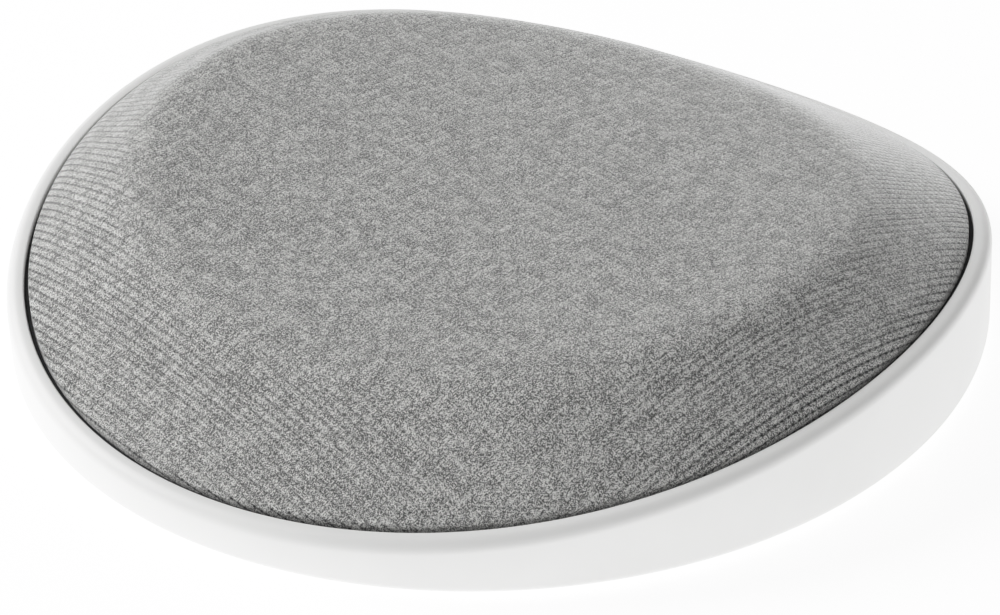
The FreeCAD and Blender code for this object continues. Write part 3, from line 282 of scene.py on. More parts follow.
# %% A film's shoulder
SHOULDER, PURE_WHITE = 0.68, 1.75
SHOWN = ((SHOULDER, SHOULDER), (SHOULDER / 2.0, SHOULDER / 2.0), (0.9, 0.83), (1.15, 0.925), (1.45, 0.98))
COMBINED = 3

scene.view_settings.view_transform = "Standard"
scene.view_settings.use_curve_mapping = True
curve = scene.view_settings.curve_mapping
curve.white_level = (PURE_WHITE, PURE_WHITE, PURE_WHITE)
points = curve.curves[COMBINED].points
points[0].location = (0.0, 0.0)
points[1].location = (1.0, 1.0)
for light, shown in SHOWN:
    points.new(light / PURE_WHITE, shown)
curve.update()
print("the curve has", len(points), "points")

# %% [markdown]
# ## The rule behind the shape
#
# Two heights give the whole speaker its form. The lip of the tray follows a saddle: the square of the distance
# towards the front or rear, less the square of the distance to the side, with a little three-sided skew. The padding
# is a much flatter saddle that rolls off to meet the lip. Both are written once, as plain sums, so that they work on
# numbers here and on sockets inside a tree.

# %% The lip and the padding as sums
WALL_RADIUS = 75.0 * MM
LIP_WIDTH = 2.85 * MM
WELL_RADIUS = WALL_RADIUS - LIP_WIDTH
SHADOW_GAP = 0.7 * MM
PAD_RADIUS = WELL_RADIUS - SHADOW_GAP
LIP_MEAN, LIP_RISE, LIP_SKEW = 12.0 * MM, 5.3 * MM, 1.3 * MM
CROWN = 24.0 * MM
RIDGE_BEND, VALLEY_BEND = 0.9, 1.6
ROLL_HIGH, ROLL_LOW = 18.5 * MM, 25.0 * MM
EDGE_RISE = 0.3 * MM
SKIRT = 2.4 * MM
EDGE_SOFT = 0.9 * MM
HOLLOW, HOLLOW_SPAN = 1.5 * MM, 0.85
KNIT_THICK = 0.9 * MM
FOAM_THICK = 2.5 * MM
SOFT_GAP = 0.12 * MM


def lip_height(x, y):
    saddle = (y * y - x * x) * (LIP_RISE / WELL_RADIUS ** 2)
    skew = (x * y * y * 3.0 - x * x * x) * (LIP_SKEW / WELL_RADIUS ** 3)
    return saddle + skew + LIP_MEAN


tray_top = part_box("tray_shell")[1].z
print("lip front", round(lip_height(0, -WELL_RADIUS) / MM, 2), "side", round(lip_height(WELL_RADIUS, 0) / MM, 2),
      "mm; tray top", round(tray_top / MM, 2))

# %% [markdown]
# ## A Geometry Nodes tree, built and baked
#
# What follows a rule or repeats is made by Geometry Nodes: the tree has named sizes, a seed where something is
# random, and ends by making its copies real and giving them a material. The tree runs once, its result is kept as a
# plain mesh, and the modifier goes, so that what is left is an ordinary piece.

# %% Build a tree, and turn its result into a piece
class Shaper(Tree):
    KINDS = {float: "NodeSocketFloat", int: "NodeSocketInt"}

    def __init__(self, name, **sizes):
        self.group = bpy.data.node_groups.new(name, "GeometryNodeTree")
        super().__init__(self.group)
        self.sizes = sizes
        self.group.interface.new_socket(name="Geometry", in_out="OUTPUT", socket_type="NodeSocketGeometry")
        for key, value in sizes.items():
            self.group.interface.new_socket(name=key, in_out="INPUT", socket_type=self.KINDS[type(value)])
        source = self.nodes.new("NodeGroupInput")
        for key in sizes:
            setattr(self, key, Socket(self, self.find(source.outputs, key)))

    def grid(self, columns, rows):
        """A sheet of points, the turn of each one round the middle, and its share of the way along the other side."""
        sockets = {"Size X": 1.0, "Size Y": 1.0, "Vertices X": columns + 1.0, "Vertices Y": rows + 1.0}
        sheet = self.add("GeometryNodeMeshGrid", sockets, "Mesh")
        place = self.add("ShaderNodeSeparateXYZ", {"Vector": self.add("GeometryNodeInputPosition")}, "X")
        return sheet, (place + 0.5) * math.tau, place.out("Y") + 0.5

    def store(self, geometry, name, value, kind="FLOAT", domain="POINT"):
        sockets = {"Geometry": geometry, "Name": name, "Value": value}
        return self.add("GeometryNodeStoreNamedAttribute", sockets, "Geometry", data_type=kind, domain=domain)

    def read(self, name):
        return self.add("GeometryNodeInputNamedAttribute", {"Name": name}, "Attribute", data_type="FLOAT")

    def finish(self, geometry, material):
        real = self.add("GeometryNodeRealizeInstances", {"Geometry": geometry}, "Geometry")
        painted = self.add("GeometryNodeSetMaterial", {"Geometry": real, "Material": material}, "Geometry")
        self.links.new(painted.output, self.nodes.new("NodeGroupOutput").inputs["Geometry"])

    def piece(self, name, **changes):
        """Runs the tree and returns an object with its result as a plain mesh."""
        thing = bpy.data.objects.new(name, bpy.data.meshes.new(name))
        scene.collection.objects.link(thing)
        modifier = thing.modifiers.new("shape", "NODES")
        modifier.node_group = self.group
        for item in self.group.interface.items_tree:
            if item.in_out == "INPUT":
                modifier[item.identifier] = changes.get(item.name, self.sizes[item.name])
        return settled(thing)


def settled(thing):
    """Turns whatever a piece's modifiers show into its own mesh, and takes the modifiers off."""
    bpy.context.view_layer.update()
    seen = thing.evaluated_get(bpy.context.evaluated_depsgraph_get())
    mesh = bpy.data.meshes.new_from_object(seen)
    thing.modifiers.clear()
    thing.data = mesh
    return thing


# %% [markdown]
# ## The knit
#
# The cover is a fine warm grey rib knit. Its yarns are spun from lighter and darker fibres, so no two stitches have
# the same grey. Between the columns and the rows lie small dark holes. Where the cover rolls away steeply, the lines
# between the columns towards one end of a diagonal, and between the rows towards the other end, are painted darker,
# and so are the holes, and their relief is deeper there. The darkening is painted shade: the shadow that the low lamp
# throws into the knit's valleys on the slope. The pattern is laid out on the cloth itself, so it reads the cloth's
# own map, whose unit is a metre of flat cloth.

# %% Knit material
WALE = 1.28 * MM
COURSE = 1.28 * MM
KNIT_TURN = math.radians(12.5)
SHADED_LINES_TURN = math.radians(32.5)
DARK_YARN, PALE_YARN, BETWEEN_YARNS = (0.10, 0.10, 0.098), (0.70, 0.70, 0.685), (0.02, 0.02, 0.021)

knit = Finish("heather_knit", (0.4, 0.4, 0.39), 0.9, sheen_weight=0.9, sheen_roughness=0.4, specular_ior_level=0.2)
cloth = knit.add("ShaderNodeUVMap", uv_map="knit")
flat = knit.add("ShaderNodeSeparateXYZ", {"Vector": cloth}, "X")
cloth_y = flat.out("Y")
column = flat / WALE
row = cloth_y / COURSE
across = column.math("FRACT") - 0.5
along = row.math("FRACT") - 0.5
side_a = 0.5 - across.math("ABSOLUTE")
side_b = 0.5 - along.math("ABSOLUTE")
valley_a = knit.between(side_a, 0.02, 0.24, 1.0, 0.0)
valley_b = knit.between(side_b, 0.02, 0.24, 1.0, 0.0)
hole = knit.between((side_a * side_a + side_b * side_b) ** 0.5, 0.06, 0.34, 1.0, 0.0)
steep = knit.add("ShaderNodeAttribute", None, "Fac", attribute_name="steep")
# Painted shade: how steep the cloth is decides how much its lines and holes are darkened below.
shaded_slope = knit.between(steep, 0.04, 0.28)
leaning = flat * math.cos(SHADED_LINES_TURN) - cloth_y * math.sin(SHADED_LINES_TURN)
leaning = leaning / (flat * flat + cloth_y * cloth_y + 1e-9) ** 0.5
shaded_slope_a = shaded_slope * knit.between(leaning, -0.60, -0.10, 1.0, 0.0)
shaded_slope_b = shaded_slope * knit.between(leaning, 0.0, 0.5)
stitch = knit.add("ShaderNodeCombineXYZ", {"X": column.math("FLOOR"), "Y": row.math("FLOOR")})
tone = knit.add("ShaderNodeTexWhiteNoise", {"Vector": stitch}, "Value", noise_dimensions="2D")
fleck = knit.noise(cloth, 5200.0, 1.0, 0.5)
fibre = knit.noise(cloth, 2600.0, 1.0, 0.5)
cloudy = knit.noise(cloth, 500.0, 3.0, 0.6)
shade = fleck * 0.56 + fibre * 0.30 + tone * 0.05 + cloudy * 0.09
heather = knit.mix(knit.between(shade, 0.42, 0.58), DARK_YARN, PALE_YARN)
# Painted shade: on steep slopes the lines and the holes are painted darker, for the shadow in the knit's valleys.
lines_and_painted_shade = valley_a * (shaded_slope_a * 0.56 + 0.03) + valley_b * (shaded_slope_b * 0.56 + 0.03)
holes_and_painted_shade = (lines_and_painted_shade + hole * (shaded_slope * 0.14 + 0.26)).math("MINIMUM", 1.0)
knit.set("Base Color", knit.mix(holes_and_painted_shade, heather, BETWEEN_YARNS))
bumps = (1.0 - valley_a * (shaded_slope_a * 0.6 + 0.2)) * (1.0 - valley_b * (shaded_slope_b * 0.6 + 0.2))
bumps = bumps - hole * 0.2 + fleck * 0.2
knit.relief(bumps, 0.18 * MM, 0.6)
print("knit: a stitch is", round(WALE / MM, 2), "by", round(COURSE / MM, 2), "mm")

# %% [markdown]
# ## The padded top
#
# A disc of points, spokes by rings, is lifted to the padding's height and its last rings turn down into the gap. As
# the rings go out, the distance walked along the surface is added up, and that distance becomes the cloth's map, so
# that the knit isn't stretched where the surface is steep. Beside the rim the knit is pulled down into a shallow
# hollow, deepest at the front and the rear, which leaves a soft shoulder round the top. The same tree makes the foam
# underneath, a size smaller.

# %% The padding's tree
dome = Shaper(
    "padded_top", Spokes=288, Rings=112, Radius=PAD_RADIUS, Drop=0.0, PadRadius=PAD_RADIUS, Crown=CROWN,
    RidgeBend=RIDGE_BEND, ValleyBend=VALLEY_BEND, RollHigh=ROLL_HIGH, RollLow=ROLL_LOW, EdgeRise=EDGE_RISE,
    Skirt=SKIRT, EdgeSoft=EDGE_SOFT, Turn=KNIT_TURN, Hollow=HOLLOW, HollowSpan=HOLLOW_SPAN,
)
SKIRT_SHARE = 0.06
sheet, turn, share = dome.grid(dome.Spokes, dome.Rings)
sheet = dome.store(sheet, "spoke", turn)
sheet = dome.store(sheet, "ring", share)
angle = dome.read("spoke")
walk = dome.read("ring")
top = (walk / (1.0 - SKIRT_SHARE)).math("MINIMUM", 1.0)
down = ((walk - (1.0 - SKIRT_SHARE)) / SKIRT_SHARE).math("MAXIMUM", 0.0)
inset = (1.0 - top) ** 1.6 * dome.Radius
reach = dome.Radius - inset
cosine, sine = angle.math("COSINE"), angle.math("SINE")
x, y = cosine * reach, sine * reach
to_edge = dome.PadRadius - reach
soft_to_edge = (to_edge * to_edge + to_edge * dome.EdgeSoft * 2.0) ** 0.5
soft_to_edge = soft_to_edge - dome.EdgeSoft * to_edge / (to_edge + dome.EdgeSoft)
width = dome.RollHigh * sine * sine + dome.RollLow * cosine * cosine
inside = (soft_to_edge / width).math("MINIMUM", 1.0)
rise = 1.0 - (1.0 - inside) ** 2.0
crest = dome.Crown + dome.RidgeBend * y * y - dome.ValleyBend * x * x
edge = lip_height(cosine * dome.PadRadius, sine * dome.PadRadius) + dome.EdgeRise
tilt = (1.0 - inside) * (crest - edge) / width * 2.0
hollow = ((inside / dome.HollowSpan).math("MINIMUM", 1.0) * math.pi).math("SINE") ** 2.0
hollow = hollow * (sine * sine * 0.6 + 0.4) * dome.Hollow
height = edge + (crest - edge) * rise - hollow - dome.Drop * (tilt * tilt + 1.0) ** 0.5
bottom = lip_height(cosine * dome.Radius, sine * dome.Radius) - dome.Skirt
surface = height + (bottom - height) * down
placed = dome.add("ShaderNodeCombineXYZ", {"X": x, "Y": y, "Z": surface})
sheet = dome.store(sheet, "hollow", hollow)
lifted = dome.add("GeometryNodeSetPosition", {"Geometry": sheet, "Position": placed}, "Geometry")
print(len(dome.nodes), "nodes in the padding's tree")

# %% [markdown]
# The walk along the surface is a running sum: each point's distance from the point one ring nearer the middle,
# added up along its own spoke. Turned by the knit's small angle, it is stored as a UV map.

# %% The cloth's own map
point = dome.add("GeometryNodeInputPosition")
number = dome.add("GeometryNodeInputIndex")
previous = dome.add("GeometryNodeFieldAtIndex", {"Value": point, "Index": number - 1.0}, data_type="FLOAT_VECTOR")
step = dome.add("ShaderNodeVectorMath", {0: point, 1: previous}, "Value", operation="DISTANCE")
step = step * walk.math("GREATER_THAN", 1e-6)
lane = (angle / math.tau * dome.Spokes).math("ROUND")
walked = dome.add("GeometryNodeAccumulateField", {"Value": step, "Group ID": lane}, "Leading", data_type="FLOAT")
lifted = dome.store(lifted, "walked", walked)
length = dome.read("walked")
turned = angle + dome.Turn
flat = dome.add("ShaderNodeCombineXYZ", {"X": length * turned.math("COSINE"), "Y": length * turned.math("SINE")})
mapped = dome.store(lifted, "knit", flat, "FLOAT2", "CORNER")
closed = dome.add("GeometryNodeMergeByDistance", {"Geometry": mapped, "Distance": 1e-6}, "Geometry")
closed = dome.add("GeometryNodeFlipFaces", {"Mesh": closed}, "Mesh")
# The steepness is stored for the knit, which paints shade into its gaps on steep slopes.
facing = dome.add("GeometryNodeInputNormal")
steep = 1.0 - dome.add("ShaderNodeSeparateXYZ", {"Vector": facing}, "Z")
closed = dome.store(closed, "steep", steep)
smooth = dome.add("GeometryNodeSetShadeSmooth", {"Geometry": closed, "Shade Smooth": True}, "Geometry")
dome.finish(smooth, knit.material)
cover = dome.piece("knit_cover")
print("cover:", len(cover.data.polygons), "faces, top", round(max(v.co.z for v in cover.data.vertices) / MM, 2), "mm")

# %% Thickness of the knit, its body and the CAD piece it stands for
def walled(piece, thickness, thinner=None):
    """Gives an open sheet a wall on its inner side, thinner at each point by what the named attribute says."""
    wall = piece.modifiers.new("wall", "SOLIDIFY")
    wall.thickness = thickness
    wall.offset = -1.0
    wall.use_even_offset = False
    if thinner:
        group = piece.vertex_groups.new(name=thinner)
        for number, value in enumerate(piece.data.attributes[thinner].data):
            group.add([number], 1.0 - value.value / thickness, "REPLACE")
        wall.vertex_group = thinner
    return settled(piece)


walled(cover, KNIT_THICK)
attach(cover, "housing")
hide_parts("grille_cover")
print("cover with its thickness:", len(cover.data.polygons), "faces")

# %% [markdown]
# ## The foam under the knit
#
# A moulded frame carries a thin sheet of soft foam, so that the knit never shows the frame's holes and feels padded.
# The foam is the same surface, moved inwards by the knit's thickness, so it comes from the same tree. Where the
# stretched knit presses a shallow hollow beside the rim, the foam is squeezed thinner, and the frame under it keeps
# its shape. Its cells are a web of rounded pits of mixed size, each painted darker towards its middle: painted
# shade in the hollows, over a random tone.

# %% Foam finish and piece
foam_finish = Finish("open_foam", (0.06, 0.06, 0.062), 0.95)
place = foam_finish.place()
cells = foam_finish.add("ShaderNodeTexVoronoi", {"Vector": place, "Scale": 1500.0}, "Distance", feature="F1")
pit_shade_and_tone = foam_finish.noise(place, 900.0, 3.0, 0.6)
# Painted shade: the colour darkens towards each pit's middle, mixed with a random tone.
pit_shade_and_tone = cells * 0.8 + pit_shade_and_tone * 0.4
foam_finish.set("Base Color", foam_finish.mix(pit_shade_and_tone, (0.02, 0.02, 0.021), (0.10, 0.10, 0.10)))
foam_finish.relief(cells, 0.25 * MM)

UNDER_KNIT = KNIT_THICK + SOFT_GAP
foam = dome.piece("foam_pad", Radius=PAD_RADIUS - UNDER_KNIT, Drop=UNDER_KNIT, Rings=80)
foam.data.materials.clear()
foam.data.materials.append(foam_finish.material)
walled(foam, FOAM_THICK, "hollow")
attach(foam, "housing")
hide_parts("grille_foam")
for padded in (cover, foam):
    heights = [vertex.co.z for vertex in padded.data.vertices]
    reaches = [vertex.co.xy.length for vertex in padded.data.vertices]
    print(padded.name, "from", round(min(heights) / MM, 2), "to", round(max(heights) / MM, 2), "mm up, reach",
          round(max(reaches) / MM, 2))

# %% [markdown]
# ## The white tray
#
# The tray is one satin white moulding. Its section is nearly the same all the way round, so it could be turned on a
# lathe, except that its lip rises and falls. It is therefore built as a lathe would, spoke by spoke, with the lip's
# height looked up at every point of the top. The openings at the rear and the screw posts inside are then cut and
# joined as a moulder's tool would form them.

# %% The tray's section, spoke by spoke
SPOKES = 360
FOOT_DROP = 0.8 * MM
FLOOR_TOP = 2.6 * MM
LIP_ROUND, INNER_ROUND, BASE_ROUND = 1.9 * MM, 0.3 * MM, 1.2 * MM
GROOVE_IN, GROOVE_OUT, GROOVE_TOP = 53.9 * MM, 67.1 * MM, 1.5 * MM


def quarter(steps):
    """Angles from 0 to a right angle."""
    return [math.pi / 2.0 * k / steps for k in range(steps + 1)]


def tray_section():
    """Radius, height and whether that height hangs from the lip, from the middle of the base round to the floor."""
    base, lip = [], []
    for radius, height in ((GROOVE_IN, FOOT_DROP), (GROOVE_IN, GROOVE_TOP), (GROOVE_OUT, GROOVE_TOP),
                           (GROOVE_OUT, FOOT_DROP)):
        base.append((radius, height, False))
    for turn in quarter(6):
        base.append((WALL_RADIUS - BASE_ROUND * (1 - math.sin(turn)),
                     FOOT_DROP + BASE_ROUND * (1 - math.cos(turn)), False))
    for turn in quarter(10):
        lip.append((WALL_RADIUS - LIP_ROUND * (1 - math.cos(turn)), LIP_ROUND * (math.sin(turn) - 1), True))
    for turn in quarter(4):
        lip.append((WELL_RADIUS + INNER_ROUND * (1 - math.sin(turn)), INNER_ROUND * (math.cos(turn) - 1), True))
    return base + lip + [(WELL_RADIUS, FLOOR_TOP, False)]


def lathe(name, section, spokes, centre_low, centre_high):
    """A closed solid of revolution whose lip follows the saddle."""
    shape = bmesh.new()
    rings = []
    for radius, height, hangs in section:
        ring = []
        for k in range(spokes):
            x, y = radius * math.sin(math.tau * k / spokes), radius * math.cos(math.tau * k / spokes)
            ring.append(shape.verts.new((x, y, height + (lip_height(x, y) if hangs else 0.0))))
        rings.append(ring)
    for inner, outer in zip(rings, rings[1:]):
        for k in range(spokes):
            after = (k + 1) % spokes
            shape.faces.new((inner[k], inner[after], outer[after], outer[k]))
    for ring, height in ((rings[0], centre_low), (rings[-1], centre_high)):
        pole = shape.verts.new((0.0, 0.0, height))
        for k in range(spokes):
            shape.faces.new((ring[k], ring[(k + 1) % spokes], pole))
    bmesh.ops.recalc_face_normals(shape, faces=shape.faces)
    return made(name, shape)


def made(name, shape):
    """An object from a bmesh."""
    mesh = bpy.data.meshes.new(name)
    shape.to_mesh(mesh)
    shape.free()
    thing = bpy.data.objects.new(name, mesh)
    scene.collection.objects.link(thing)
    return thing


tray = lathe("tray", tray_section(), SPOKES, FOOT_DROP, FLOOR_TOP)
print("tray blank:", len(tray.data.polygons), "faces")

# %% [markdown]
# The posts carry the board, the sound box and the padded top. Each is a short round bar fused to the floor, with a
# bore for its screw. The four outer ones are hollowed from below for the screw heads, which the rubber foot hides.

# %% Posts and their bores
FRAME_POST_RING, FRAME_POST_TURN = 60.5 * MM, math.radians(39.0)
HEAD_RADIUS = {"chassis_screws": 2.2 * MM, "board_screws": 2.0 * MM}


def upright(shape, middle, radius, low, high, sides=32):
    """Adds an upright closed cylinder to a bmesh."""
    place = Matrix.Translation((*middle, (low + high) / 2.0))
    bmesh.ops.create_cone(shape, cap_ends=True, segments=sides, radius1=radius, radius2=radius, depth=high - low,
                          matrix=place)


def screw_places(node):
    """The middles of four screws, one in each corner of a node's box."""
    low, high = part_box(node)
    inset = HEAD_RADIUS[node]
    return [(x, y) for x in (low.x + inset, high.x - inset) for y in (low.y + inset, high.y - inset)]


across = FRAME_POST_RING * math.cos(FRAME_POST_TURN)
along = FRAME_POST_RING * math.sin(FRAME_POST_TURN)
frame_places = [(side * across, end * along) for side in (-1, 1) for end in (-1, 1)]
POSTS = (
    (frame_places, 4.2 * MM, 5.6 * MM, 1.45 * MM, 0.0),
    (screw_places("chassis_screws"), 3.5 * MM, 4.6 * MM, 1.15 * MM, 1.5 * MM),
    (screw_places("board_screws"), 2.75 * MM, 6.4 * MM, 0.85 * MM, 2.0 * MM),
)
SINK_RADIUS, SINK_TOP = 2.7 * MM, 3.1 * MM
posts, bores, sinks = bmesh.new(), bmesh.new(), bmesh.new()
for places, radius, top, bore, bore_from in POSTS:
    for middle in places:
        upright(posts, middle, radius, FOOT_DROP + 1.0 * MM, top)
        upright(bores, middle, bore, bore_from, top + 1.0 * MM, 20)
for middle in frame_places:
    upright(sinks, middle, SINK_RADIUS, -1.0 * MM, SINK_TOP)
tools = [("UNION", made("posts", posts)), ("DIFFERENCE", made("bores", bores)), ("DIFFERENCE", made("sinks", sinks))]
print(sum(len(post[0]) for post in POSTS), "posts")

# %% [markdown]
# Three openings pass through the rear wall. The power inlet has a dished mouth that guides the plug in. Beside it are
# the slot of the mute slider and the small hole of the reset button. Each is one round-ended tube, swung round the
# wall to its place, and a little wider at the mouth, as a moulded edge is.

# %% The openings in the rear wall
def round_ended(shape, half_wide, half_tall, middle, stations, turn, steps=12):
    """Adds a closed tube along Y with a round-ended section, wider at each station by what it says."""
    swing = Matrix.Rotation(turn, 3, "Z")
    rings = []
    for along, wider in stations:
        radius = half_tall + wider
        straight = half_wide - half_tall
        ring = []
        for end, start in ((1.0, -math.pi / 2.0), (-1.0, math.pi / 2.0)):
            for k in range(steps + 1):
                bend = start + math.pi * k / steps
                point = Vector((end * straight + radius * math.cos(bend), along, middle + radius * math.sin(bend)))
                ring.append(shape.verts.new(swing @ point))
        rings.append(ring)
    count = len(rings[0])
    for near, far in zip(rings, rings[1:]):
        for k in range(count):
            shape.faces.new((near[k], near[(k + 1) % count], far[(k + 1) % count], far[k]))
    shape.faces.new(rings[0])
    shape.faces.new(rings[-1])


low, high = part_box("usb_port")
PORT_GAP = 0.33 * MM
PORT_MIDDLE = (low.z + high.z) / 2.0
INSIDE, OUTSIDE = WELL_RADIUS - 3.0 * MM, WALL_RADIUS + 2.0 * MM
MUTE_TURN, RESET_TURN = math.radians(-17.0), math.radians(15.0)
KNOB_MIDDLE, KNOB_HALF_WIDE, KNOB_HALF_TALL, KNOB_TRAVEL = 9.2 * MM, 2.0 * MM, 1.1 * MM, 2.0 * MM
CONTROL_GAP = 0.35 * MM
RESET_MIDDLE, RESET_HOLE = 9.4 * MM, 1.7 * MM


def mouth(flare, deep):
    """Stations along a hole: straight from inside, then opening over the last stretch below the wall's face."""
    return ((INSIDE, 0.0), (WALL_RADIUS - deep, 0.0), (WALL_RADIUS + deep / 3.0, flare), (OUTSIDE, flare))


holes = bmesh.new()
round_ended(holes, high.x + PORT_GAP, (high.z - low.z) / 2.0 + PORT_GAP, PORT_MIDDLE, mouth(1.3 * MM, 0.9 * MM), 0.0)
round_ended(holes, KNOB_HALF_WIDE + KNOB_TRAVEL / 2.0 + CONTROL_GAP, KNOB_HALF_TALL + CONTROL_GAP, KNOB_MIDDLE,
            mouth(0.25 * MM, 0.2 * MM), MUTE_TURN)
round_ended(holes, RESET_HOLE, RESET_HOLE, RESET_MIDDLE, mouth(0.25 * MM, 0.2 * MM), RESET_TURN)
bmesh.ops.remove_doubles(holes, verts=holes.verts, dist=1e-7)
bmesh.ops.recalc_face_normals(holes, faces=holes.faces)
tools.append(("DIFFERENCE", made("wall_holes", holes)))


def carved(piece, tools):
    """Joins or cuts closed shapes. Each tool is an operation and an object, and is used up."""
    for operation, tool in tools:
        change = piece.modifiers.new("carve", "BOOLEAN")
        change.operation = operation
        change.solver = "EXACT"
        change.object = tool
    settled(piece)
    for operation, tool in tools:
        bpy.data.objects.remove(tool)
    return piece


def smoothed(piece, degrees=32.0):
    """Shades a piece smooth, apart from edges sharper than an angle."""
    piece.data.polygons.foreach_set("use_smooth", [True] * len(piece.data.polygons))
    piece.data.set_sharp_from_angle(angle=math.radians(degrees))
    return piece


smoothed(carved(tray, tools))
print("tray:", len(tray.data.polygons), "faces")

# %% [markdown]
# ## Satin white plastic
#
# The shell is a matt white moulding with a warm tint. Its mould was blasted, which leaves a very fine even grain, and
# handling polishes it a little in soft patches. The grain is far smaller than a fingerprint's ridges, so it only
# breaks up the gloss.

# %% White shell finish
def moulded(name, colour, roughness=0.5, grain=3200.0, depth=0.012 * MM, patch=0.04, **fixed):
    """A plastic from a blasted mould: fine grain, gloss that drifts in soft patches, and a faint drift of tone."""
    finish = Finish(name, colour, roughness, **fixed)
    place = finish.place()
    drift = finish.noise(place, 45.0, 3.0, 0.55)
    fine = finish.noise(place, grain, 2.0, 0.5)
    finish.set("Roughness", drift * (2.0 * patch) + fine * patch + (roughness - 1.5 * patch))
    darker = tuple(channel * 0.97 for channel in colour)
    finish.set("Base Color", finish.mix(finish.between(drift, 0.35, 0.65), darker, colour))
    finish.relief(fine, depth)
    return finish


white_shell = moulded("white_shell", (0.87, 0.87, 0.862), 0.42, specular_ior_level=0.45)


def finished(piece, finish, slot, body, *nodes):
    """Gives a piece its finish and its body, and hides the CAD nodes that it stands for. The slot is not used."""
    piece.data.materials.clear()
    piece.data.materials.append(finish.material)
    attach(piece, body)
    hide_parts(*nodes)
    return piece


finished(tray, white_shell, "white_shell", "housing", "tray_shell")

# %% [markdown]
# ## The rubber foot
#
# A flat ring of soft rubber sits in a groove underneath and hides the four screws. Round ribs on its face grip the
# table. The ring is a band of points, rows by spokes, that goes along the ribbed face and back along the flat one,
# so it follows a rule, and Geometry Nodes make it.

# %% The foot's tree
low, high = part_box("foot_ring")
FOOT_WIDE = 13.0 * MM
tread = Shaper("ribbed_ring", Spokes=216, Rows=128, Inner=high.x - FOOT_WIDE, Wide=FOOT_WIDE, Top=high.z,
               Ribs=9.0, RibDeep=0.35 * MM, Edge=0.5 * MM)
band, angle, way = tread.grid(tread.Spokes, tread.Rows)
share = 1.0 - (way * 2.0 - 1.0).math("ABSOLUTE")
groove = (-((share * tread.Ribs * math.tau).math("COSINE"))).math("MAXIMUM", 0.0) ** 0.5 * tread.RibDeep
from_edge = share.math("MINIMUM", 1.0 - share) * tread.Wide
beside = (1.0 - from_edge / tread.Edge).math("MAXIMUM", 0.0)
corner = tread.Edge * (1.0 - (1.0 - beside * beside).math("MAXIMUM", 0.0) ** 0.5)
ribbed = groove.math("MAXIMUM", corner)
flat_side = (way.math("GREATER_THAN", 0.499) + way.math("LESS_THAN", 0.001)).math("MINIMUM", 1.0)
height = ribbed + (tread.Top - ribbed) * flat_side
reach = tread.Inner + share * tread.Wide
placed = {"X": angle.math("COSINE") * reach, "Y": angle.math("SINE") * reach, "Z": height}
placed = tread.add("ShaderNodeCombineXYZ", placed)
band = tread.add("GeometryNodeSetPosition", {"Geometry": band, "Position": placed}, "Geometry")
band = tread.add("GeometryNodeMergeByDistance", {"Geometry": band, "Distance": 1e-6}, "Geometry")

# %% Foot finish and piece
def rubber(name, colour, roughness=0.7, depth=0.02 * MM, **fixed):
    """A matt rubber: it takes dust in soft patches and has a faint sheen."""
    finish = Finish(name, colour, roughness, sheen_weight=0.08, specular_ior_level=0.35, **fixed)
    place = finish.place()
    dust = finish.noise(place, 160.0, 4.0, 0.6)
    fine = finish.noise(place, 2400.0, 2.0, 0.5)
    paler = tuple(min(channel * 1.35 + 0.01, 1.0) for channel in colour)
    finish.set("Base Color", finish.mix(finish.between(dust, 0.4, 0.75), colour, paler))
    finish.set("Roughness", dust * 0.15 + (roughness - 0.07))
    finish.relief(fine, depth)
    return finish


foot_rubber = rubber("foot_rubber", (0.115, 0.115, 0.118), 0.75)
tread.finish(band, foot_rubber.material)
foot = smoothed(tread.piece("ribbed_foot"), 40.0)
recalculated = bmesh.new()
recalculated.from_mesh(foot.data)
bmesh.ops.recalc_face_normals(recalculated, faces=recalculated.faces)
recalculated.to_mesh(foot.data)
recalculated.free()
finished(foot, foot_rubber, "foot_rubber", "housing", "foot_ring")
print("foot:", len(foot.data.polygons), "faces")

# %% [markdown]
# ## The seal in the gap
#
# A thin band of black foam rubber stands all round the gap between the padding and the tray's inner wall. It keeps
# dust out and stops rattles. It is also a dark band put where the gap lies in shade: its black is painted shade, so
# the gap reads as one clean dark line. Its imported shape is right, but it comes as loose triangles. A copy has them
# joined, so that it can be shaded smoothly.

# %% Joined copies of imported pieces
def joined_copy(node, name, degrees=32.0):
    """A new piece in the shape of a packed one, with its triangles joined and shaded smooth between its edges."""
    shape = bmesh.new()
    shape.from_mesh(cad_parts[node].data)
    bmesh.ops.remove_doubles(shape, verts=shape.verts, dist=1e-6)
    return smoothed(made(name, shape), degrees)


seal_foam = rubber("seal_foam", (0.013, 0.013, 0.014), 0.9, 0.03 * MM)
# Painted shade: the black band fills the gap where it lies in shadow, so the gap reads dark.
seal_and_gap_shade = finished(joined_copy("gap_gasket", "gap_seal_and_shade"), seal_foam, "seal_foam", "housing", "gap_gasket")
print("seal:", len(seal_and_gap_shade.data.polygons), "faces")

# %% [markdown]
# ## The power inlet
#
# The inlet is a small drawn can of nickel-plated steel with a flat black tongue inside, and the tongue carries a row
# of gold contacts on each face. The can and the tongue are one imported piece. Their finishes could be split over two
# pieces, but the places say clearly what is what, so one material reads them and switches between three recipes.

# %% Nickel, black tongue and gold contacts
CONTACT_PITCH = 0.5 * MM
CONTACT_ROW, CONTACT_FROM, CONTACT_SHARE = 2.8 * MM, 68.0 * MM, 0.28
TONGUE_HALF_WIDE, TONGUE_HALF_TALL = 3.45 * MM, 0.5 * MM

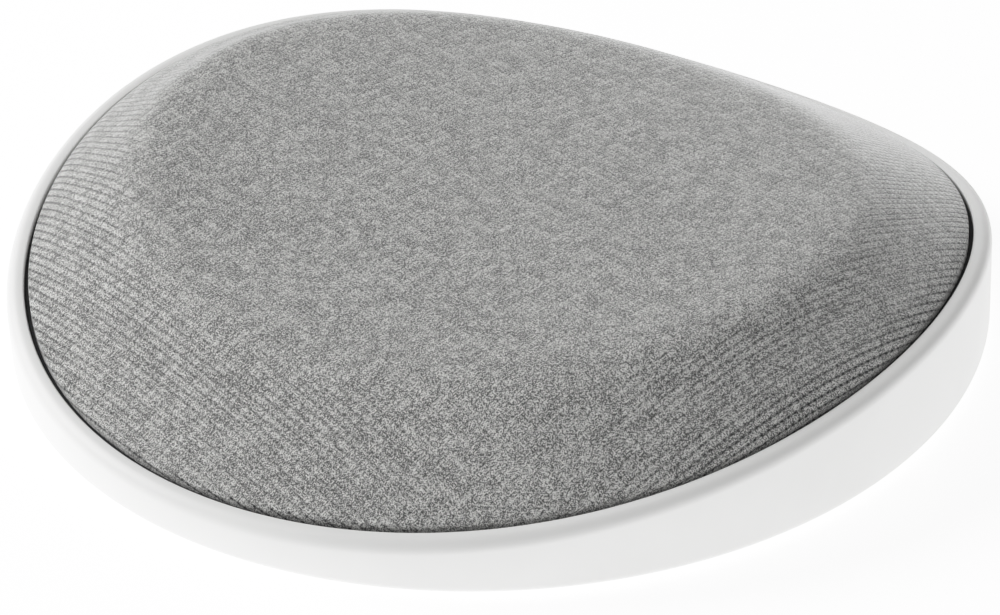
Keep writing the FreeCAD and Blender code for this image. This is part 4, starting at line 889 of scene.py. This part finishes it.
inlet = Finish("nickel_inlet", (0.75, 0.75, 0.75), 0.25, 1.0)
spot = inlet.add("ShaderNodeSeparateXYZ", {"Vector": inlet.place()}, "X")
aside = spot.math("ABSOLUTE")
above = (spot.out("Z") - PORT_MIDDLE).math("ABSOLUTE")
on_tongue = aside.math("LESS_THAN", TONGUE_HALF_WIDE) * above.math("LESS_THAN", TONGUE_HALF_TALL)
in_row = aside.math("LESS_THAN", CONTACT_ROW) * spot.out("Y").math("GREATER_THAN", CONTACT_FROM)
contact = ((spot / CONTACT_PITCH).math("FRACT") - 0.5).math("ABSOLUTE").math("LESS_THAN", CONTACT_SHARE) * in_row
drawn = inlet.add("ShaderNodeMapping", {"Vector": inlet.place(), "Scale": (5200.0, 300.0, 5200.0)}, "Vector")
lines = inlet.noise(drawn, 1.0, 2.0, 0.5)
nickel = inlet.mix(lines, (0.66, 0.66, 0.67), (0.80, 0.80, 0.79))
tongue = inlet.mix(contact, (0.012, 0.012, 0.013), (0.86, 0.60, 0.24))
inlet.set("Base Color", inlet.mix(on_tongue, nickel, tongue))
inlet.set("Metallic", 1.0 - on_tongue * (1.0 - contact))
inlet.set("Roughness", lines * 0.16 + 0.16 + on_tongue * (1.0 - contact) * 0.2)
inlet.relief(lines, 0.006 * MM)
port = finished(joined_copy("usb_port", "power_inlet"), inlet, "bright_steel", "housing", "usb_port")
print("inlet:", len(port.data.polygons), "faces,", int(2 * CONTACT_ROW / CONTACT_PITCH), "contacts a side")

# %% [markdown]
# ## The mute slider and the reset button
#
# The slider's knob is grey, so that it can be told from the white wall, and small upright ribs give a fingertip hold.
# The ribs are one rounded bar repeated along a line, which is a job for Geometry Nodes. The knob sits in its slot at
# an angle to the wall's middle, so the finished row of ribs is swung round with it. The reset button is a plain white
# peg, a little below the wall's face, so that it isn't pressed by chance.

# %% The two controls
KNOB_FACE = WALL_RADIUS + 0.3 * MM
grey_control = moulded("grey_control", (0.30, 0.31, 0.32), 0.5)
white_control = moulded("white_control", (0.86, 0.86, 0.85), 0.4)
slider = finished(joined_copy("mute_slider", "mute_knob"), grey_control, "grey_control", "mute_slider", "mute_slider")
button = finished(joined_copy("reset_button", "reset_peg"), white_control, "white_control", "reset_button",
                  "reset_button")
print("slider and button:", len(slider.data.polygons), "and", len(button.data.polygons), "faces")

# %% Ribs on the knob
grip = Shaper("grip_ribs", Ribs=5, Pitch=0.58 * MM, Round=0.15 * MM, Tall=1.5 * MM, Middle=-KNOB_TRAVEL / 2.0,
              Face=KNOB_FACE, Up=KNOB_MIDDLE, Swing=MUTE_TURN)
bar = grip.add("GeometryNodeMeshCylinder", {"Vertices": 16, "Radius": grip.Round, "Depth": grip.Tall}, "Mesh")
span = (grip.Ribs - 1.0) * grip.Pitch
first = grip.add("ShaderNodeCombineXYZ", {"X": grip.Middle - span * 0.5, "Y": grip.Face, "Z": grip.Up})
apart = grip.add("ShaderNodeCombineXYZ", {"X": grip.Pitch})
row = grip.add("GeometryNodeMeshLine", {"Count": grip.Ribs, "Start Location": first, "Offset": apart}, "Mesh")
bars = grip.add("GeometryNodeInstanceOnPoints", {"Points": row, "Instance": bar}, "Instances")
swing = grip.add("ShaderNodeCombineXYZ", {"Z": grip.Swing})
bars = grip.add("GeometryNodeRealizeInstances", {"Geometry": bars}, "Geometry")
bars = grip.add("GeometryNodeTransform", {"Geometry": bars, "Rotation": swing}, "Geometry")
grip.finish(bars, grey_control.material)
ribs = smoothed(grip.piece("knob_ribs"), 40.0)
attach(ribs, "mute_slider")
print("ribs:", len(ribs.data.polygons), "faces")

# %% [markdown]
# ## Finishes for the works inside
#
# The rest is hidden while the speaker is whole, but it shows in a cutaway or when the top is lifted off. The packed
# shapes are right, so they stay, and only their materials are made better. A few recipes cover them all: metal,
# moulded plastic, rubber, paper and cloth, and the board. Plated steel comes first. Its zinc grows in patches that
# catch the light a little differently, and handling leaves fine scratches.

# %% Metals
def metal(name, colour, roughness, patch_size, grain, depth, metallic=1.0):
    """Bare or plated metal: patches of slightly different tone and gloss, over a fine grain."""
    finish = Finish(name, colour, roughness, metallic)
    place = finish.place()
    patches = finish.add("ShaderNodeTexVoronoi", {"Vector": place, "Scale": 1.0 / patch_size}, "Color")
    patch = finish.add("ShaderNodeSeparateColor", {"Color": patches}, "Red")
    fine = finish.noise(place, grain, 2.0, 0.55)
    darker = tuple(channel * 0.82 for channel in colour)
    finish.set("Base Color", finish.mix(patch * 0.6 + fine * 0.4, darker, colour))
    finish.set("Roughness", patch * 0.10 + fine * 0.12 + (roughness - 0.11))
    finish.relief(fine, depth)
    return finish


WORKS = {
    "zinc_steel": metal("zinc_steel", (0.62, 0.62, 0.60), 0.38, 1.6 * MM, 1500.0, 0.01 * MM),
    "cast_aluminium": metal("cast_aluminium", (0.60, 0.61, 0.62), 0.52, 2.2 * MM, 2600.0, 0.03 * MM),
    "capacitor_can": metal("capacitor_can", (0.70, 0.70, 0.71), 0.30, 3.0 * MM, 1800.0, 0.006 * MM),
    "magnet": metal("sintered_magnet", (0.20, 0.20, 0.21), 0.62, 0.5 * MM, 1900.0, 0.03 * MM, 0.5),
}
print("metals:", ", ".join(WORKS))

# %% [markdown]
# The voice coil is two layers of enamelled copper wire. Its turns could be modelled as a helix, but each wire is
# thinner than a hair, so rings worked out from the height give the same look: bright copper on the round of each
# turn, and painted shade between turns, where two wires meet in a shadowed groove.

# %% Copper winding
WIRE = 0.16 * MM
winding = Finish("copper_winding", (0.72, 0.40, 0.22), 0.25, 1.0)
tall = winding.add("ShaderNodeSeparateXYZ", {"Vector": winding.place()}, "Z")
turn = ((tall / WIRE).math("FRACT") - 0.5).math("ABSOLUTE") * 2.0
tint = winding.noise(winding.place(), 700.0, 3.0, 0.5)
copper_tone = winding.mix(tint, (0.60, 0.30, 0.15), (0.80, 0.46, 0.26))
# Painted shade: the copper's colour goes dark where two turns meet.
winding.set("Base Color", winding.mix(turn ** 3.0, copper_tone, (0.12, 0.05, 0.025)))
winding.set("Roughness", turn * 0.25 + 0.2)
winding.relief(1.0 - turn * turn, WIRE * 0.4)
WORKS["copper"] = winding
print("winding:", round(WIRE / MM, 2), "mm wire")

# %% [markdown]
# Plastics and rubbers reuse the recipes of the tray and the foot. Clear parts pass light: the light guide and the
# lens of each light are clear acrylic with a trace of flow marks, which show as a slow drift in their gloss.

# %% Plastics, rubbers and clear parts
WORKS.update({
    "black_plastic": moulded("black_plastic", (0.035, 0.035, 0.038), 0.55, 2600.0, 0.02 * MM),
    "chip_black": moulded("chip_epoxy", (0.045, 0.045, 0.046), 0.62, 3800.0, 0.02 * MM),
    "connector_nylon": moulded("natural_nylon", (0.80, 0.77, 0.68), 0.48, 1900.0, 0.01 * MM),
    "led_lens": moulded("cast_lens", (0.90, 0.86, 0.62), 0.16, 900.0, 0.004 * MM, 0.02, coat_weight=0.6),
    "clear_guide": moulded("clear_acrylic", (0.94, 0.96, 0.97), 0.12, 700.0, 0.003 * MM, 0.02,
                           transmission_weight=0.9, ior=1.49),
    "seal_foam": seal_foam,
    "roll_rubber": rubber("surround_rubber", (0.045, 0.045, 0.047), 0.6, 0.01 * MM),
    "lead_jacket": rubber("lead_jacket", (0.035, 0.035, 0.036), 0.55, 0.008 * MM),
    "thermal_gel": rubber("thermal_gel", (0.42, 0.52, 0.63), 0.5, 0.03 * MM),
})
print("recipes so far:", len(WORKS))

# %% [markdown]
# The cone is pressed paper with a black coat. Long fibres lie in it in all directions, so two stretched noises at
# right angles are laid over each other. The spider that centres the voice coil is a cloth: threads over and under
# threads, stiffened with a brown resin.

# %% Cone paper and spider cloth
paper = Finish("coated_paper", (0.06, 0.06, 0.064), 0.7)
fibres = None
for turn in (0.4, 1.5, 2.6):
    laid = paper.add("ShaderNodeMapping", {"Vector": paper.place(), "Rotation": (0.0, 0.0, turn),
                                           "Scale": (300.0, 4200.0, 900.0)}, "Vector")
    strand = paper.noise(laid, 1.0, 2.0, 0.6)
    fibres = strand if fibres is None else fibres.math("MAXIMUM", strand)
strands = paper.between(fibres, 0.5, 0.75)
paper.set("Base Color", paper.mix(strands, (0.035, 0.035, 0.037), (0.10, 0.10, 0.105)))
paper.set("Roughness", 0.78 - strands * 0.2)
paper.relief(strands, 0.04 * MM)
WORKS["cone_paper"] = paper

THREAD = 0.45 * MM
spider = Finish("resined_cloth", (0.62, 0.50, 0.30), 0.6, sheen_weight=0.2)
weave = spider.add("ShaderNodeSeparateXYZ", {"Vector": spider.place()}, "X")
warp = (weave * (math.pi / THREAD)).math("SINE")
weft = (weave.out("Y") * (math.pi / THREAD)).math("SINE")
over = warp * weft * 0.5 + 0.5
resin = spider.noise(spider.place(), 260.0, 4.0, 0.6)
spider.set("Base Color", spider.mix(over * 0.6 + resin * 0.4, (0.30, 0.20, 0.09), (0.72, 0.58, 0.36)))
spider.set("Roughness", 0.75 - resin * 0.25)
spider.relief(over, 0.06 * MM)
WORKS["spider_cloth"] = spider
print("paper and cloth: thread", round(THREAD / MM, 2), "mm")

# %% [markdown]
# The boards are glass fibre under a green solder mask. Copper tracks lie under the mask and show as paler green
# lines that run square to the edges, and bare tinned pads shine between them. A square-cornered cell pattern gives
# both: its borders are the tracks, and the middles of some cells are pads. The flat white ribbon has a conductor
# under each of its stripes.

# %% Board and ribbon
board = Finish("green_board", (0.02, 0.13, 0.07), 0.35, coat_weight=0.3)
cells = {"Vector": board.place(), "Scale": 420.0, "Randomness": 0.7}
near = board.add("ShaderNodeTexVoronoi", cells, "Distance", distance="CHEBYCHEV", feature="F1")
cell = board.add("ShaderNodeSeparateColor", {"Color": near.out("Color")}, "Red")
second = board.add("ShaderNodeTexVoronoi", cells, "Distance", distance="CHEBYCHEV", feature="F2")
track = board.between(second - near, 0.10, 0.16, 1.0, 0.0)
pad = board.between(near, 0.16, 0.22, 1.0, 0.0) * cell.math("GREATER_THAN", 0.72)
fibre_drift = board.noise(board.place(), 300.0, 3.0, 0.6)
mask_green = board.mix(fibre_drift, (0.010, 0.085, 0.045), (0.022, 0.14, 0.075))
tracked = board.mix(track * 0.8, mask_green, (0.05, 0.26, 0.12))
board.set("Base Color", board.mix(pad, tracked, (0.76, 0.74, 0.68)))
board.set("Metallic", pad)
board.set("Roughness", 0.40 - pad * 0.12 + fibre_drift * 0.08)
board.relief(track.math("MAXIMUM", pad), 0.03 * MM)
WORKS["green_board"] = board

CONDUCTOR = 1.0 * MM
tape = Finish("flat_ribbon", (0.78, 0.80, 0.82), 0.35)
stripe = tape.add("ShaderNodeSeparateXYZ", {"Vector": tape.place()}, "X")
stripe = ((stripe / CONDUCTOR).math("FRACT") - 0.5).math("ABSOLUTE")
wire = tape.between(stripe, 0.20, 0.32)
tape.set("Base Color", tape.mix(wire, (0.80, 0.82, 0.84), (0.60, 0.62, 0.66)))
tape.set("Roughness", wire * 0.1 + tape.noise(tape.place(), 400.0) * 0.1 + 0.28)
tape.relief(wire, 0.05 * MM)
WORKS["ribbon"] = tape
print("all recipes:", len(WORKS))

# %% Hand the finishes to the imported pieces
refinished = set()
for node, thing in sorted(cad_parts.items()):
    for holder in thing.material_slots:
        if holder.material.name in WORKS:
            holder.material = WORKS[holder.material.name].material
            refinished.add(node)
print(len(refinished), "packed pieces have a finish of their own")
